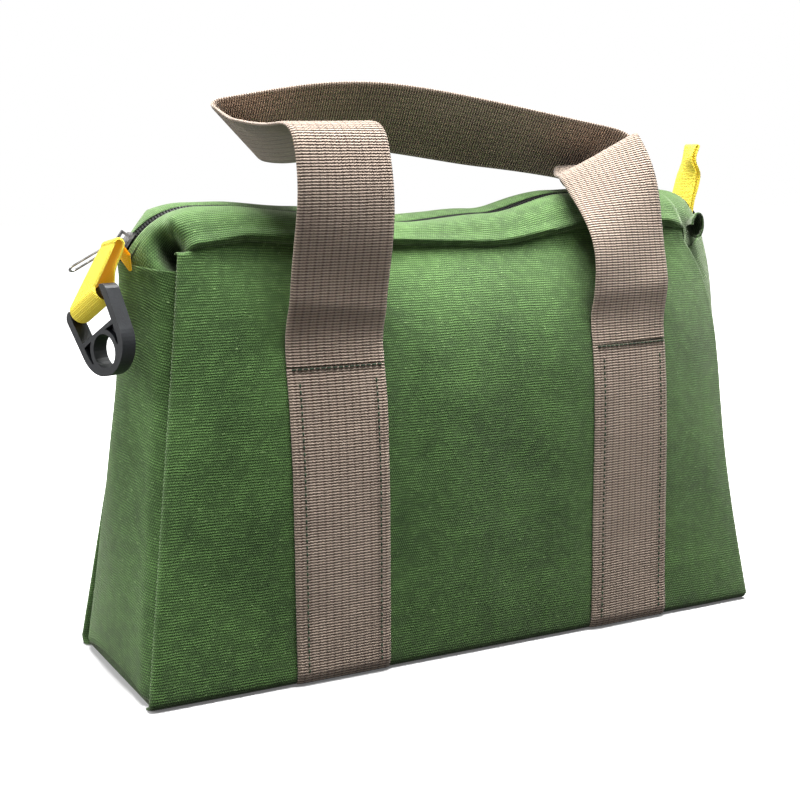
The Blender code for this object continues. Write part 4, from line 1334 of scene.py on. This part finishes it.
def makeFloor():
    # white for the camera, with the bag's shadow near the bag, and darker for the light that comes back up
    material, tree, shader = startMaterial("paleFloor", 0.9, specular=0.0)
    seen = Number(tree, addNode(tree, "ShaderNodeLightPath").outputs["Is Camera Ray"])
    grey, pale = [(stageLook[key],) * 3 for key in ("floorBounce", "floorSeen")]
    plug(tree, mixColour(tree, seen, grey, pale), shader.inputs["Base Color"])
    away = addNode(tree, "ShaderNodeVectorMath", operation="LENGTH")
    plug(tree, addNode(tree, "ShaderNodeTexCoord").outputs["Object"], away.inputs[0])
    fade = (stageLook["fadeFrom"], stageLook["fadeTo"], stageLook["glow"], 1.0)
    glow = addNode(tree, "ShaderNodeEmission")
    plug(tree, Number(tree, away.outputs["Value"]).between(*fade) * seen, glow.inputs["Strength"])
    both = addNode(tree, "ShaderNodeAddShader")
    plug(tree, shader.outputs[0], both.inputs[0])
    plug(tree, glow.outputs[0], both.inputs[1])
    plug(tree, both.outputs[0], tree.nodes["Material Output"].inputs["Surface"])
    places, level = np.linspace(*stageLook["floorSpan"]), stageLook["floorLevel"]
    buildSheet("floor", [material], np.array([[(x, y, level) for y in places] for x in places]))


makeFloor()

for name, (place, size, power) in stageLook["lights"].items():
    light = bpy.data.lights.new(name, "AREA")
    light.shape = "RECTANGLE"
    light.size, light.size_y = size
    light.energy = power
    item = bpy.data.objects.new(name, light)
    item.location = place
    item.rotation_mode = "QUATERNION"
    item.rotation_quaternion = (Vector(stageLook["aim"]) - Vector(place)).to_track_quat("-Z", "Y")
    bpy.context.collection.objects.link(item)

world = bpy.context.scene.world or bpy.data.worlds.new("studio")
bpy.context.scene.world = world
world.use_nodes = True
tree = world.node_tree
background = tree.nodes.get("Background") or addNode(tree, "ShaderNodeBackground")
background.inputs["Color"].default_value = (1.0, 1.0, 1.0, 1.0)
paths = addNode(tree, "ShaderNodeLightPath").outputs
seen = Number(tree, paths["Is Camera Ray"])
for kind in ("Is Glossy Ray", "Is Transmission Ray"):
    seen = seen.calc("MAXIMUM", paths[kind])
plug(tree, seen * (1.0 - stageLook["world"]) + stageLook["world"], background.inputs["Strength"])

cameraLook = {
    "place": (-0.370, -0.649, 0.256),
    "yaw": 28.45,
    "pitch": 10.16,
    "focalPixels": 1419.0,
    "picturePixels": 800,
    "sensor": 36.0,
}
cameraData = bpy.data.cameras.new("camera")
cameraData.sensor_width = cameraLook["sensor"]
cameraData.lens = cameraLook["focalPixels"] / cameraLook["picturePixels"] * cameraLook["sensor"]
camera = bpy.data.objects.new("camera", cameraData)
camera.location = cameraLook["place"]
camera.rotation_euler = (math.radians(90 - cameraLook["pitch"]), 0.0, math.radians(-cameraLook["yaw"]))
bpy.context.collection.objects.link(camera)
bpy.context.scene.camera = camera
bpy.context.scene.view_settings.view_transform = "Standard"
print("floor, light and camera ready")
